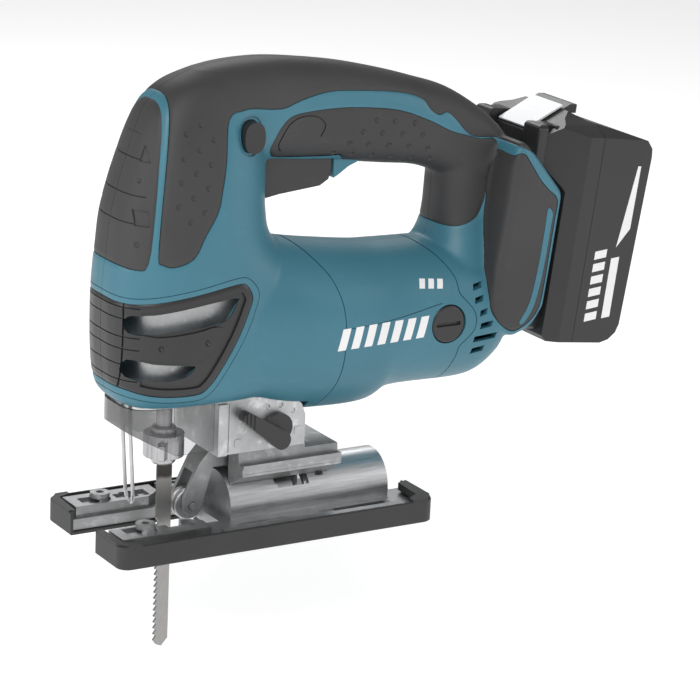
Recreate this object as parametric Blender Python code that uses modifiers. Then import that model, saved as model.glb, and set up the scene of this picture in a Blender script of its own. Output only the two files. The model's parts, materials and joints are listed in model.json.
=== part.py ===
"""Cordless orbital jigsaw as an assembly. Millimetres in the tables below; metres in the scene.

+X runs from the blade end to the battery, +Y to the tool's right, +Z up. The origin is the
centre of the sole's underside.
"""

import math

import bmesh
import bpy
from mathutils import Matrix

MM = 0.001

# Driving dimensions (mm)
GAP = 0.3                 # running gap between neighbouring pieces
SOLE_LENGTH = 178.8       # sole cover along X
SOLE_WIDTH = 84.0         # sole cover along Y
SOLE_RIM = 11.8           # height of the cover's rim
SOLE_SKIN = 1.5           # thickness of the cover's floor and sides
PLATE_TOP = 7.5           # top of the cast plate's flat
SLOT_WIDTH = 27.7         # blade gap between the horns
SLOT_BACK = -22.0         # where that gap ends
TILT_Z = 12.0             # height of the bevel axis
TUNNEL_R = 17.0           # outside of the cast tunnel
TUNNEL_WALL = 3.5
TUNNEL_FRONT = -16.0
TUNNEL_BACK = 76.0
BOLT_X = 26.0             # bevel bolt
BOLT_R = 3.0
BEVEL_DEG = 45.0
SHIFT = 10.0              # how far the base moves back
SADDLE_HALF = 24.0
BLOCK_HALF = 22.0         # exposed block of the gear housing
BLOCK_FRONT = -28.0
BLOCK_BACK = 22.0
BLOCK_LOW = 44.3
WALL = 3.6                # moulded shell
PAD = 1.7                 # soft overmould
BARREL_HALF = 35.5        # motor barrel half width
COLUMN_HALF = 31.5        # front column half width
GRIP_HALF = 17.5          # handle half width
MOUNT_HALF = 38.5         # battery mount half width
MOTOR_Z = 102.0           # armature axis
PINION_TEETH = 12
GEAR_TEETH = 48
MODULE = 0.75
CRANK = 13.0              # half the blade's stroke
ROD_X = -46.0             # plunger axis
ROD_R = 4.0
ROLLER_X = -32.3
ROLLER_Z = 14.0
ROLLER_R = 8.3
ARM_X = -9.5              # roller arm's pivot
ARM_Z = 37.0
BLADE_TIP = -61.0
BLADE_WIDTH = 8.2
BLADE_THICK = 1.3
BATTERY_HALF = 38.0
BATTERY_LENGTH = 113.0
BATTERY_DEPTH = 40.0
BATTERY_LEAN = 6.8        # degrees from upright
RAIL_HALF = 30.0
RAIL_DEPTH = 26.0          # how far the rail head reaches into the mount

SPACING = MODULE * (PINION_TEETH + GEAR_TEETH) / 2 + 0.15
GEAR_Z = MOTOR_Z + SPACING
TUNNEL_IN = TUNNEL_R - TUNNEL_WALL
LEAN = math.radians(BATTERY_LEAN)

for leftover in list(bpy.data.objects):
    bpy.data.objects.remove(leftover, do_unlink=True)

whole = bpy.data.collections.new("jigsaw")
bpy.context.scene.collection.children.link(whole)
shop = bpy.data.collections.new("cutters")
bpy.context.scene.collection.children.link(shop)


# Makers. Each gives an object that isn't in a collection yet.

ALONG = {
    "x": Matrix(((0, 0, 1, 0), (1, 0, 0, 0), (0, 1, 0, 0), (0, 0, 0, 1))),
    "y": Matrix(((1, 0, 0, 0), (0, 0, -1, 0), (0, 1, 0, 0), (0, 0, 0, 1))),
    "z": Matrix.Identity(4),
}


def rings(name, loops):
    """A loft: a closed skin through loops of equal length, ended with flat caps."""
    count = len(loops[0])
    points = [[c * MM for c in point] for loop in loops for point in loop]
    faces = [tuple(range(count))[::-1]]
    for row in range(len(loops) - 1):
        for k in range(count):
            near, far, after = row * count, (row + 1) * count, (k + 1) % count
            faces.append((near + k, near + after, far + after, far + k))
    faces.append(tuple((len(loops) - 1) * count + k for k in range(count)))
    mesh = bpy.data.meshes.new(name)
    mesh.from_pydata(points, [], faces)
    sheet = bmesh.new()
    sheet.from_mesh(mesh)
    if sheet.calc_volume(signed=True) < 0:
        bmesh.ops.reverse_faces(sheet, faces=sheet.faces[:])
    sheet.to_mesh(mesh)
    sheet.free()
    return bpy.data.objects.new(name, mesh)


def grown(outline, by):
    """The outline moved outwards by a distance, corner by corner."""
    area = sum(a[0] * b[1] - b[0] * a[1] for a, b in zip(outline, outline[1:] + outline[:1]))
    side = 1 if area > 0 else -1
    moved = []
    for k, (x, z) in enumerate(outline):
        ax, az = outline[k - 1]
        bx, bz = outline[(k + 1) % len(outline)]
        first = math.hypot(x - ax, z - az)
        second = math.hypot(bx - x, bz - z)
        n1 = ((z - az) / first, (ax - x) / first)
        n2 = ((bz - z) / second, (x - bx) / second)
        scale = side * by / max(0.4, 1 + n1[0] * n2[0] + n1[1] * n2[1])
        moved.append((x + (n1[0] + n2[0]) * scale, z + (n1[1] + n2[1]) * scale))
    return moved


def as_mesh(item, place):
    """A curve or a modified object worked out as a plain welded mesh, laid along its axis."""
    shop.objects.link(item)
    bpy.context.view_layer.update()
    mesh = bpy.data.meshes.new_from_object(item.evaluated_get(bpy.context.evaluated_depsgraph_get()))
    name = item.name
    bpy.data.objects.remove(item, do_unlink=True)
    mesh.transform(place)
    sheet = bmesh.new()
    sheet.from_mesh(mesh)
    bmesh.ops.remove_doubles(sheet, verts=sheet.verts, dist=0.001 * MM)
    bmesh.ops.recalc_face_normals(sheet, faces=sheet.faces)
    sheet.to_mesh(mesh)
    sheet.free()
    return bpy.data.objects.new(name, mesh)


def softened(item, width):
    step = item.modifiers.new("edges", "BEVEL")
    step.width = width * MM
    step.segments = 1
    step.limit_method = "ANGLE"
    step.angle_limit = math.radians(40)
    return item


def prism(name, outline, low, high, axis="y", ease=0.0):
    """A flat outline with a thickness. Outlines are (x, z), (x, y) or (y, z) for y, z and x."""
    data = bpy.data.curves.new(name, "CURVE")
    data.dimensions = "2D"
    data.fill_mode = "BOTH"
    data.extrude = (high - low) / 2 * MM
    spline = data.splines.new("POLY")
    spline.points.add(len(outline) - 1)
    for point, (u, v) in zip(spline.points, outline):
        point.co = (u * MM, v * MM, 0, 1)
    spline.use_cyclic_u = True
    middle = (low + high) / 2 * MM * (-1 if axis == "y" else 1)
    item = as_mesh(bpy.data.objects.new(name, data), ALONG[axis] @ Matrix.Translation((0, 0, middle)))
    return softened(item, ease) if ease else item


def box(name, x, y, z, ease=0.0):
    mesh = bpy.data.meshes.new(name)
    sheet = bmesh.new()
    size = Matrix.Diagonal(((x[1] - x[0]) * MM, (y[1] - y[0]) * MM, (z[1] - z[0]) * MM, 1))
    centre = Matrix.Translation([sum(pair) / 2 * MM for pair in (x, y, z)])
    bmesh.ops.create_cube(sheet, size=1, matrix=centre @ size)
    sheet.to_mesh(mesh)
    sheet.free()
    item = bpy.data.objects.new(name, mesh)
    return softened(item, ease) if ease else item


def turned(name, profile, axis, centre, steps=32, ring=False):
    """A profile of (along, radius) swept round an axis with Screw; ring closes it on itself."""
    if profile[0][0] < profile[-1][0] or ring:
        profile = profile[::-1]
    count = len(profile)
    mesh = bpy.data.meshes.new(name)
    points = [(radius * MM, 0, along * MM) for along, radius in profile]
    edges = [(k, k + 1) for k in range(count - 1)]
    if ring:
        edges.append((count - 1, 0))
    else:
        points = [(0, 0, profile[0][0] * MM)] + points + [(0, 0, profile[-1][0] * MM)]
        edges = [(k, k + 1) for k in range(count + 1)]
    mesh.from_pydata(points, edges, [])
    item = bpy.data.objects.new(name, mesh)
    sweep = item.modifiers.new("turn", "SCREW")
    sweep.axis = "Z"
    sweep.steps = steps
    sweep.render_steps = steps
    sweep.use_merge_vertices = True
    sweep.merge_threshold = 0.00001
    place = Matrix.Translation([c * MM for c in centre]) @ ALONG[axis]
    if axis == "y":
        place = place @ Matrix.Rotation(math.pi, 4, "X")
    return as_mesh(item, place)


def rod(name, radius, low, high, axis, centre, steps=24, ease=0.0):
    mesh = bpy.data.meshes.new(name)
    sheet = bmesh.new()
    middle = (low + high) / 2 * MM * (-1 if axis == "y" else 1)
    place = Matrix.Translation([c * MM for c in centre]) @ ALONG[axis] @ Matrix.Translation((0, 0, middle))
    bmesh.ops.create_cone(sheet, cap_ends=True, segments=steps, radius1=radius * MM, radius2=radius * MM,
                          depth=(high - low) * MM, matrix=place)
    sheet.to_mesh(mesh)
    sheet.free()
    item = bpy.data.objects.new(name, mesh)
    return softened(item, ease) if ease else item


def tube(name, inner, outer, low, high, axis, centre, steps=24):
    profile = [(low, inner), (low, outer), (high, outer), (high, inner)]
    return turned(name, profile, axis, centre, steps, ring=True)


def wire(name, path, radius):
    """A bent wire: a curve with a round bevel and filled caps."""
    data = bpy.data.curves.new(name, "CURVE")
    data.dimensions = "3D"
    data.bevel_depth = radius * MM
    data.bevel_resolution = 2
    data.use_fill_caps = True
    spline = data.splines.new("POLY")
    spline.points.add(len(path) - 1)
    for point, place in zip(spline.points, path):
        point.co = (*[c * MM for c in place], 1)
    return as_mesh(bpy.data.objects.new(name, data), Matrix.Identity(4))


def oval(low, high, half, power, count):
    """A squared oval between low and high, with a half width across."""
    middle, reach = (low + high) / 2, (high - low) / 2
    points = []
    for k in range(count):
        turn = 2 * math.pi * (k + 0.5) / count
        c, s = math.cos(turn), math.sin(turn)
        points.append((middle + reach * math.copysign(abs(c) ** (2 / power), c),
                       half * math.copysign(abs(s) ** (2 / power), s)))
    return points


def loft(name, stations, axis, power, inset=0.0, count=24):
    """Squared ovals stacked along x or z; a station is (along, low, high, half width)."""
    loops = []
    for k, (along, low, high, half) in enumerate(stations):
        if k == 0:
            along += inset
        if k == len(stations) - 1:
            along -= inset
        shape = oval(low + inset, high - inset, half - inset, power, count)
        if axis == "z":
            loops.append([(p, q, along) for p, q in shape])
        else:
            loops.append([(along, q, p) for p, q in shape])
    return rings(name, loops)


def toothed(name, teeth, radius, low, high, centre, phase):
    """A spur gear along X. Slim teeth leave backlash."""
    outline = []
    for k in range(teeth):
        for part, reach in ((-0.32, -1.15), (-0.17, 0.85), (0.17, 0.85), (0.32, -1.15)):
            turn = 2 * math.pi * (k + part + phase) / teeth
            size = radius + reach * MODULE
            outline.append((centre[1] + size * math.cos(turn), centre[2] + size * math.sin(turn)))
    return prism(name, outline, low, high, "x")


def tool(item):
    """A cutter: kept out of the object and out of renders."""
    shop.objects.link(item)
    item.hide_render = True
    item.display_type = "WIRE"
    return item


def cut(item, cutter, operation="DIFFERENCE", solver="MANIFOLD"):
    if cutter.name not in shop.objects:
        tool(cutter)
    step = item.modifiers.new(cutter.name, "BOOLEAN")
    step.solver = solver
    step.operation = operation
    step.object = cutter
    return item


def join(item, other):
    return cut(item, other, "UNION")


def settled(item, name):
    """The item's mesh with its modifiers worked out, as a new cutter."""
    if item.name not in bpy.context.scene.objects:
        tool(item)
    item.hide_render = True
    bpy.context.view_layer.update()
    mesh = bpy.data.meshes.new_from_object(item.evaluated_get(bpy.context.evaluated_depsgraph_get()))
    return tool(bpy.data.objects.new(name, mesh))


def node(item, colour, rough=0.5, metal=0.0, clear=0.0):
    material = bpy.data.materials.new(item.name)
    material.use_nodes = True
    shader = material.node_tree.nodes["Principled BSDF"]
    shader.inputs["Base Color"].default_value = (*colour, 1)
    shader.inputs["Roughness"].default_value = rough
    shader.inputs["Metallic"].default_value = metal
    shader.inputs["Transmission Weight"].default_value = clear
    item.data.materials.clear()
    item.data.materials.append(material)
    whole.objects.link(item)
    return item


TEAL = (0.045, 0.16, 0.22)
SOFT = (0.035, 0.035, 0.038)
BLACK = (0.02, 0.02, 0.022)
CAST = (0.45, 0.46, 0.47)
STEEL = (0.5, 0.5, 0.52)
COPPER = (0.6, 0.25, 0.1)


def lean(up, back):
    """A point in the battery's leaning frame: along its face, then out from it."""
    return (161.0 + up * math.sin(LEAN) + back * math.cos(LEAN),
            87.0 + up * math.cos(LEAN) - back * math.sin(LEAN))


def lean_box(name, up, back, y, ease=0.0):
    outline = [lean(up[0], back[0]), lean(up[0], back[1]), lean(up[1], back[1]), lean(up[1], back[0])]
    return prism(name, outline, y[0], y[1], "y", ease)


# Sole cover and cast base

half_length = SOLE_LENGTH / 2
half_width = SOLE_WIDTH / 2
half_slot = SLOT_WIDTH / 2


def rounded_plan(x0, x1, half, radius, steps=5):
    points = []
    for cx, cy, start in ((x1 - radius, half - radius, 0), (x0 + radius, half - radius, 90),
                          (x0 + radius, radius - half, 180), (x1 - radius, radius - half, 270)):
        for k in range(steps):
            turn = math.radians(start + 90 * k / (steps - 1))
            points.append((cx + radius * math.cos(turn), cy + radius * math.sin(turn)))
    return points


cover = prism("sole_cover", rounded_plan(-half_length, half_length, half_width, 6), 0, SOLE_RIM, "z", 0.8)
plate_front = SOLE_SKIN + GAP - half_length
plate_half = half_width - SOLE_SKIN - GAP
cover_pocket = prism("cover_pocket", rounded_plan(plate_front - GAP, half_length - SOLE_SKIN,
                                                  half_width - SOLE_SKIN, 4.5), SOLE_SKIN, 30, "z")
cut(cover, cover_pocket)
cut(cover, box("cover_gap", (-120, SLOT_BACK), (-half_slot, half_slot), (-5, 30)))
cut(cover, box("cover_hatch", (8, TUNNEL_BACK - 3), (-TUNNEL_IN, TUNNEL_IN), (-5, 5)))
cut(cover, box("cover_tail", (half_length - 14, 120), (-10, 10), (2.5, 30)))
node(cover, BLACK, 0.45)

base = prism("base_plate", rounded_plan(plate_front, half_length - SOLE_SKIN - GAP, plate_half, 4.2),
             SOLE_SKIN + GAP, PLATE_TOP, "z", 0.5)
half_slot_cast = half_slot + SOLE_SKIN
tunnel_shape = [(-TUNNEL_R, PLATE_TOP - 3)]
for k in range(17):
    turn = math.pi * (1 - k / 16)
    tunnel_shape.append((TUNNEL_R * math.cos(turn), TILT_Z + TUNNEL_R * math.sin(turn)))
tunnel_shape.append((TUNNEL_R, PLATE_TOP - 3))
join(base, prism("tunnel_solid", tunnel_shape, TUNNEL_FRONT, TUNNEL_BACK, "x"))
for side in (-1, 1):
    rail = [(-84.5, 18 * side), (-44, 18 * side), (-36, 24 * side), (-36, 34 * side), (-84.5, 34 * side)]
    join(base, prism(f"horn_rail_{side}", rail, PLATE_TOP - 2, 13.0, "z"))
    join(base, rod(f"horn_boss_{side}", 5.0, PLATE_TOP - 2, 16.5, "z", (-68, 25 * side, 0), 20))
    join(base, box(f"edge_rib_{side}", (-30, 84), (35 * side - 2, 35 * side + 2), (PLATE_TOP - 2, 10.4)))
    cut(base, box(f"horn_window_{side}", (-60, -46), (22.5 * side - 0.5, 22.5 * side + 5), (9.5, 30)))
    cut(base, box(f"plate_slot_{side}", (40, 70), (25 * side - 2.5, 25 * side + 2.5), (-5, 30)))
    cut(base, rod(f"boss_hole_{side}", 2.0, 9, 30, "z", (-68, 25 * side, 0), 16))
arch = [(-TUNNEL_IN, -5)]
for k in range(17):
    turn = math.pi * (1 - k / 16)
    arch.append((TUNNEL_IN * math.cos(turn), TILT_Z + TUNNEL_IN * math.sin(turn)))
arch.append((TUNNEL_IN, -5))
cut(base, prism("tunnel_hollow", arch, TUNNEL_FRONT + 4, TUNNEL_BACK - 1.5, "x"))
cut(base, box("base_gap", (-120, SLOT_BACK), (-half_slot_cast, half_slot_cast), (-5, 40)))
cut(base, box("base_tail", (half_length - 13, 120), (-9, 9), (-5, 40)))
reach = math.radians(BEVEL_DEG + 17)
fan_slot = [(0, TILT_Z)]
for k in range(9):
    turn = reach * (1 - k / 4)
    fan_slot.append((26 * math.sin(turn), TILT_Z + 26 * math.cos(turn)))
cut(base, prism("bolt_slot", fan_slot, BOLT_X - SHIFT - BOLT_R - 1, BOLT_X + BOLT_R + 1, "x"))
node(base, CAST, 0.35, 0.9)

# Clamp under the tunnel, its bolt, and the saddle the tool stands on


def arc_band(inner, outer, angle, steps=16):
    points = []
    for radius, turns in ((outer, range(steps + 1)), (inner, range(steps, -1, -1))):
        for k in turns:
            turn = math.radians(angle) * (2 * k / steps - 1)
            points.append((radius * math.sin(turn), TILT_Z + radius * math.cos(turn)))
    return points


clamp = prism("clamp_plate", arc_band(TUNNEL_IN - 2.6, TUNNEL_IN - GAP, 82), BOLT_X - 16, BOLT_X + 18, "x")
cut(clamp, prism("clamp_slot", fan_slot, BOLT_X - BOLT_R - GAP, BOLT_X + BOLT_R + GAP, "x"))
node(clamp, STEEL, 0.35, 0.9)

head_top = TILT_Z + math.sqrt((TUNNEL_IN - 2.6) ** 2 - 25) - 0.3
bolt = turned("clamp_bolt", [(head_top - 5.9, 4.4), (head_top - 5.3, 5.0), (head_top, 5.0), (head_top, BOLT_R),
                             (41.5, BOLT_R), (42, 2.6)], "z", (BOLT_X, 0, 0), 24)
cut(bolt, prism("hex_socket", [(BOLT_X + 2.3 * math.cos(math.pi * k / 3), 2.3 * math.sin(math.pi * k / 3))
                               for k in range(6)], head_top - 12, head_top - 1.9, "z"))
node(bolt, (0.08, 0.08, 0.085), 0.35, 0.9)

seat = TUNNEL_R + 0.35
saddle_shape = []
for k in range(13):
    turn = math.radians(44) * (k / 6 - 1)
    saddle_shape.append((seat * math.sin(turn), TILT_Z + seat * math.cos(turn)))
saddle_shape += [(SADDLE_HALF, 32.5), (SADDLE_HALF, 36.5), (20, 37.5), (19, BLOCK_LOW - GAP)]
saddle_shape += [(-19, BLOCK_LOW - GAP), (-20, 37.5), (-SADDLE_HALF, 36.5), (-SADDLE_HALF, 32.5)]
saddle = prism("saddle", saddle_shape, -14, 43, "x")
cut(saddle, box("saddle_step", (24, 60), (-30, 30), (41.5, 60)))
cut(saddle, box("saddle_front", (-30, -5), (-9.2, 9.2), (20, 60)))
cut(saddle, rod("saddle_bore", BOLT_R + GAP, 10, 60, "z", (BOLT_X, 0, 0), 24))
node(saddle, CAST, 0.4, 0.9)

# The moulded body: five forms joined, at four depths

FORMS = (
    ("column", "z", 3.2, (
        (73, -74, 22, 26), (79, -79, 26, COLUMN_HALF - 2), (95, -81, 30, COLUMN_HALF),
        (126, -81.5, 30, COLUMN_HALF), (150, -79.5, 8, COLUMN_HALF - 1), (165, -78, 3.5, COLUMN_HALF - 2),
        (180, -74.5, 3, COLUMN_HALF - 3.2), (195, -70, 3, COLUMN_HALF - 5), (209, -65.5, 5, COLUMN_HALF - 8),
        (220, -60.5, 8, COLUMN_HALF - 11), (229, -51, 10, COLUMN_HALF - 15), (235.5, -36, 8, COLUMN_HALF - 22))),
    ("handle", "x", 2.5, (
        (-46, 192, 230, 12), (-36, 190, 235, GRIP_HALF), (-20, 189, 238, GRIP_HALF + 2.5),
        (0, 188, 239, GRIP_HALF + 2), (20, 185.5, 237.5, GRIP_HALF), (45, 183.5, 234, GRIP_HALF - 0.5),
        (70, 180.5, 228.5, GRIP_HALF - 0.5), (90, 178, 223, GRIP_HALF - 0.5), (106, 172, 218, GRIP_HALF),
        (120, 164, 210.5, GRIP_HALF + 1), (132, 158, 202, GRIP_HALF + 2), (141, 158, 193, GRIP_HALF + 1))),
    ("post", "z", 2.6, (
        (122, 92, 146, GRIP_HALF + 12), (134, 98, 148, GRIP_HALF + 8), (144, 102, 149, GRIP_HALF + 4),
        (155, 103, 149, GRIP_HALF + 1), (170, 103.5, 148, GRIP_HALF), (184, 105, 146, GRIP_HALF),
        (197, 110, 138, GRIP_HALF - 2))),
    ("barrel", "x", 2.25, (
        (-40, 76, 148, 26), (-20, 66, 150, 30), (4, 60, 149, BARREL_HALF - 2), (28, 58, 145, BARREL_HALF),
        (58, 58, 141, BARREL_HALF), (73, 64.5, 140, BARREL_HALF), (112, 64.5, 139, BARREL_HALF),
        (124, 67, 138, BARREL_HALF), (133, 74, 134, BARREL_HALF - 2))),
)
MOUNT = [(122, 97), (120, 112), (121, 130), (124, 148), (127, 168), (129, 189), (134, 195), (141, 188),
         (151, 176), (160.3, 165), (158.2, 150), (155.5, 128), (152.5, 106), (146, 96), (134, 91)]


def body(name, inset):
    first = None
    for label, axis, power, stations in FORMS:
        piece = loft(f"{name}_{label}", stations, axis, power, inset, 20)
        if first is None:
            first = piece
            shop.objects.link(first)
        else:
            join(first, piece)
    mount = prism(f"{name}_mount", grown(MOUNT, -inset), inset - MOUNT_HALF, MOUNT_HALF - inset, "y", 3.0)
    join(first, mount)
    return settled(first, name)


outer = body("form_outer", 0.0)
under = body("form_under", PAD)
seat_form = body("form_seat", PAD + GAP)
inner = body("form_inner", WALL)

# Soft pads and the vent cover, by their outlines on the tool's side

FRONT_PAD = [(-100, 152), (-84, 146), (-75, 144), (-70.5, 147), (-67.5, 169), (-64, 193), (-59.5, 217),
             (-58, 229), (-58, 250), (-100, 250)]
SIDE_GRIP = [(-64, 147), (-58, 145.5), (-48, 149), (-42, 159), (-35, 170), (-32.5, 180), (-30, 193),
             (-28, 210), (-24.5, 216), (-19, 217), (-13, 217.5), (4, 216), (15, 219), (31, 222), (48, 221.5),
             (72, 219), (86, 215), (91, 209), (96, 206), (101, 207), (106, 203), (112, 196.5), (118, 193.5),
             (130, 192.5), (150, 190), (150, 250), (-54, 250), (-54.5, 229), (-56.5, 217), (-61, 193),
             (-64.5, 169), (-66, 150)]
INLAY = [(0, 197), (3, 205), (8, 210.5), (15, 213), (32, 214), (49, 213), (72, 210), (90, 203.5),
         (103, 195.5), (114, 189.5), (128.6, 186.6), (126.1, 176), (125.1, 164.2), (121.8, 154), (116, 149.5),
         (107, 147.3), (98, 149.5), (94, 156), (94, 170), (46, 172), (44, 187), (33, 188.5), (7, 190),
         (1.5, 192.5)]
MOUNT_PAD = [(129, 186), (126.5, 176), (125.5, 164), (122.5, 143), (119.8, 125), (119.8, 112), (122, 104),
             (127, 99.5), (131, 103), (134, 115), (137, 140), (139.5, 165), (138.5, 181), (134, 188)]
VENT_COVER = [(-100, 133), (-86, 128.5), (-77, 127), (-46, 130.5), (-25, 133.8), (-19, 133), (-15.5, 127),
              (-17, 121), (-23, 107), (-33, 90), (-39, 82.5), (-45, 80), (-63, 80.5), (-77, 83.5), (-100, 92)]
WINDOW_HIGH = [(-90, 122), (-67, 122), (-27, 127), (-23.5, 125.5), (-30, 116), (-45, 114), (-64, 112.5), (-90, 114)]
WINDOW_LOW = [(-90, 101), (-67, 97.5), (-48, 95.5), (-46, 94), (-50.5, 90), (-61, 88.5), (-90, 92)]
PADS = (
    ("front_pad", FRONT_PAD, SOFT),
    ("side_grip", SIDE_GRIP, SOFT),
    ("handle_inlay", INLAY, SOFT),
    ("mount_pad", MOUNT_PAD, SOFT),
    ("vent_cover", VENT_COVER, BLACK),
)

SCREWS = ((-44, 203), (84, 203), (84, 72.5), (22, 137))
cavity_back = lean_box("cavity_back", (-90, 190), (-RAIL_DEPTH - 4, 80), (-60, 60))
mount_pocket = lean_box("mount_pocket", (3, 190), (-RAIL_DEPTH - GAP - 0.7, 60),
                        (-RAIL_HALF - GAP, RAIL_HALF + GAP))
mount_behind = lean_box("mount_behind", (-20, 190), (-8, 60), (-60, 60))
LATCH_UP = BATTERY_LENGTH - 30.4
hook_hole = lean_box("hook_hole", (LATCH_UP, 200), (-RAIL_DEPTH - 6, -RAIL_DEPTH - 0.5), (-10.4, 10.4))
trigger_hole = box("trigger_hole", (-4.2, 40.2), (-9.4, 9.4), (160, 199))
button_hole = prism("button_hole", [(x, z + 204.5) for x, z in oval(-20.7, -8.8, 8.0, 2.4, 20)], -40, 40)
block_hole = box("block_hole", (BLOCK_FRONT - 1, BLOCK_BACK + 1), (-BLOCK_HALF - 1, BLOCK_HALF + 1), (30, 78))
nose_hole = prism("nose_hole", [(x, y) for x, y in oval(-73.5, 8, 23.5, 4, 24)], 60, 78, "z")
for item in (cavity_back, mount_pocket, mount_behind, hook_hole, trigger_hole, button_hole, block_hole, nose_hole):
    tool(item)
hollow = cut(settled(inner, "hollow_start"), cavity_back)
hollow = settled(hollow, "hollow")

for name, side in (("left", -1), ("right", 1)):
    halfspace = tool(box(f"half_{name}", (-200, 300), (GAP / 2, 80) if side > 0 else (-80, -GAP / 2), (-50, 300)))
    shell = settled(outer, f"shell_{name}")
    shop.objects.unlink(shell)
    shell.name = f"housing_{name}"
    shell.hide_render = False
    shell.display_type = "TEXTURED"
    cut(shell, hollow)
    for k, (x, z) in enumerate(SCREWS):
        boss = (GAP / 2, 25) if side > 0 else (-25, -GAP / 2)
        stub = rod(f"boss_{name}_{k}", 4.2, boss[0], boss[1], "y", (x, 0, z), 16)
        stub = cut(stub, outer, "INTERSECT")
        join(shell, settled(stub, f"stub_{name}_{k}"))
    cut(shell, halfspace, "INTERSECT")
    for label, outline, _ in PADS:
        pocket = prism(f"pocket_{label}_{name}", grown(outline, GAP), -80, 80)
        cut(pocket, seat_form)
        cut(shell, settled(pocket, f"pocket_of_{label}_{name}"))
    for cutter in (mount_behind, mount_pocket, trigger_hole, button_hole, block_hole, nose_hole):
        cut(shell, cutter)
    for k, (x, z) in enumerate(SCREWS):
        depth = (-20, 14) if side < 0 else (-1, 60)
        cut(shell, rod(f"screw_hole_{name}_{k}", 1.7, depth[0], depth[1], "y", (x, 0, z), 12))
        if side > 0:
            cut(shell, rod(f"screw_sink_{k}", 3.3, 8, 60, "y", (x, 0, z), 16))
    cut(shell, prism(f"shell_window_high_{name}", grown(WINDOW_HIGH, -1), 80 * side - 80, 80 * side + 80))
    cut(shell, prism(f"shell_window_low_{name}", grown(WINDOW_LOW, -1), 80 * side - 80, 80 * side + 80))
    cut(shell, hook_hole)
    rib = sorted((25.4 * side, (RAIL_HALF + 1.5) * side))
    join(shell, lean_box(f"rail_{name}", (4, 78), (-19.6, -15.4), rib))
    cut(shell, rod(f"cap_sink_{name}", 10.2, 27 * side if side > 0 else -60, 60 if side > 0 else -27, "y",
                   (96, 0, MOTOR_Z), 28))
    cut(shell, rod(f"cap_bore_{name}", 7.0, 20 if side > 0 else -60, 60 if side > 0 else -20, "y",
                   (96, 0, MOTOR_Z), 24))
    for k in range(4):
        slot = box(f"air_slot_{name}_{k}", (117 + k, 124 + 2 * k), (20 * side - 14, 20 * side + 14),
                   (112 - 8 * k, 114.4 - 8 * k))
        cut(shell, slot)
    node(shell, TEAL, 0.4)
    for label, outline, colour in PADS:
        pad = prism(f"{label}_{name}", outline, -80, 80)
        cut(pad, outer, "INTERSECT")
        cut(pad, under)
        cut(pad, halfspace, "INTERSECT")
        cut(pad, mount_behind)
        cut(pad, mount_pocket)
        cut(pad, button_hole)
        cut(pad, trigger_hole)
        if label == "vent_cover":
            cut(pad, prism(f"window_high_{name}", WINDOW_HIGH, -80, 80))
            cut(pad, prism(f"window_low_{name}", WINDOW_LOW, -80, 80))
        node(pad, colour, 0.7)


# Gear housing, its rear plate and the plunger's guides


def pivot(item, x, y, z):
    """Moves the origin to a joint's axis and leaves the shape where it is."""
    place = Matrix.Translation((x * MM, y * MM, z * MM))
    item.data.transform(place.inverted())
    item.matrix_world = place
    return item


TIGHT = max(0.0, WALL - 3.6) * 2.0    # a thicker shell leaves less room for the gear housing
GEARBOX = ((72.3, -70.5, 7, BLOCK_HALF + 0.3), (80, -70.5, 4.5, BLOCK_HALF + 1.2), (126, -71, 4, BLOCK_HALF + 1.8),
           (150, -69, 0, BLOCK_HALF + 1.8), (172, -67, -4.6, BLOCK_HALF + 1.1), (177, -64.5, -6.5, BLOCK_HALF - 2))
GEARBOX = [(up, low + TIGHT, high - TIGHT, half - TIGHT) for up, low, high, half in GEARBOX]
HOLLOW = ((79, -68.5, 3, BLOCK_HALF - 0.6), (126, -69, 2, BLOCK_HALF), (150, -67, -2, BLOCK_HALF),
          (172, -65, -6.6, BLOCK_HALF - 0.7), (174.8, -63.5, -8, BLOCK_HALF - 2.5))
HOLLOW = [(up, low + TIGHT, high - TIGHT, half - TIGHT) for up, low, high, half in HOLLOW]
gearbox = loft("gear_housing", GEARBOX, "z", 4, 0, 32)
face = [(BLOCK_FRONT, BLOCK_LOW), (BLOCK_BACK, BLOCK_LOW), (BLOCK_BACK, 60), (BLOCK_BACK - 2.5, 66),
        (BLOCK_BACK - 8, 70), (BLOCK_BACK - 8, 76), (BLOCK_FRONT, 76)]
join(gearbox, prism("block", face, -BLOCK_HALF, BLOCK_HALF))
for side in (-1, 1):
    edge = sorted(((BLOCK_HALF - 2) * side, (BLOCK_HALF + 1.4) * side))
    join(gearbox, box(f"block_ridge_{side}", (BLOCK_FRONT, BLOCK_FRONT + 5), edge, (BLOCK_LOW, 71)))
    cut(gearbox, rod(f"wire_bore_{side}", 1.3, 60, 77, "z", (-67, 4.1 * side, 0), 12))
cut(gearbox, loft("gearbox_hollow", HOLLOW, "z", 4, 0, 32))
cut(gearbox, box("gearbox_open", (-30, 20), (-21.3, 21.3), (79, 160)))
cut(gearbox, rod("guide_bore", 7.8, 60, 90, "z", (ROD_X, 0, 0), 28))
cut(gearbox, rod("lever_bore", 3.3, -40, -14, "y", (5, 0, 56), 20))
node(gearbox, CAST, 0.4, 0.9)

room = 21 - TIGHT
plate = prism("bearing_plate", [(-room, 79.3), (room, 79.3), (room, 138), (13, 148), (-13, 148), (-room, 138)],
              -6, -2, "x")
cut(plate, rod("bearing_seat", 9.3, -20, 20, "x", (0, 0, MOTOR_Z), 32))
cut(plate, rod("gear_pin_seat", 3.1, -20, 20, "x", (0, 0, GEAR_Z), 20))
node(plate, CAST, 0.4, 0.9)

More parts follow.
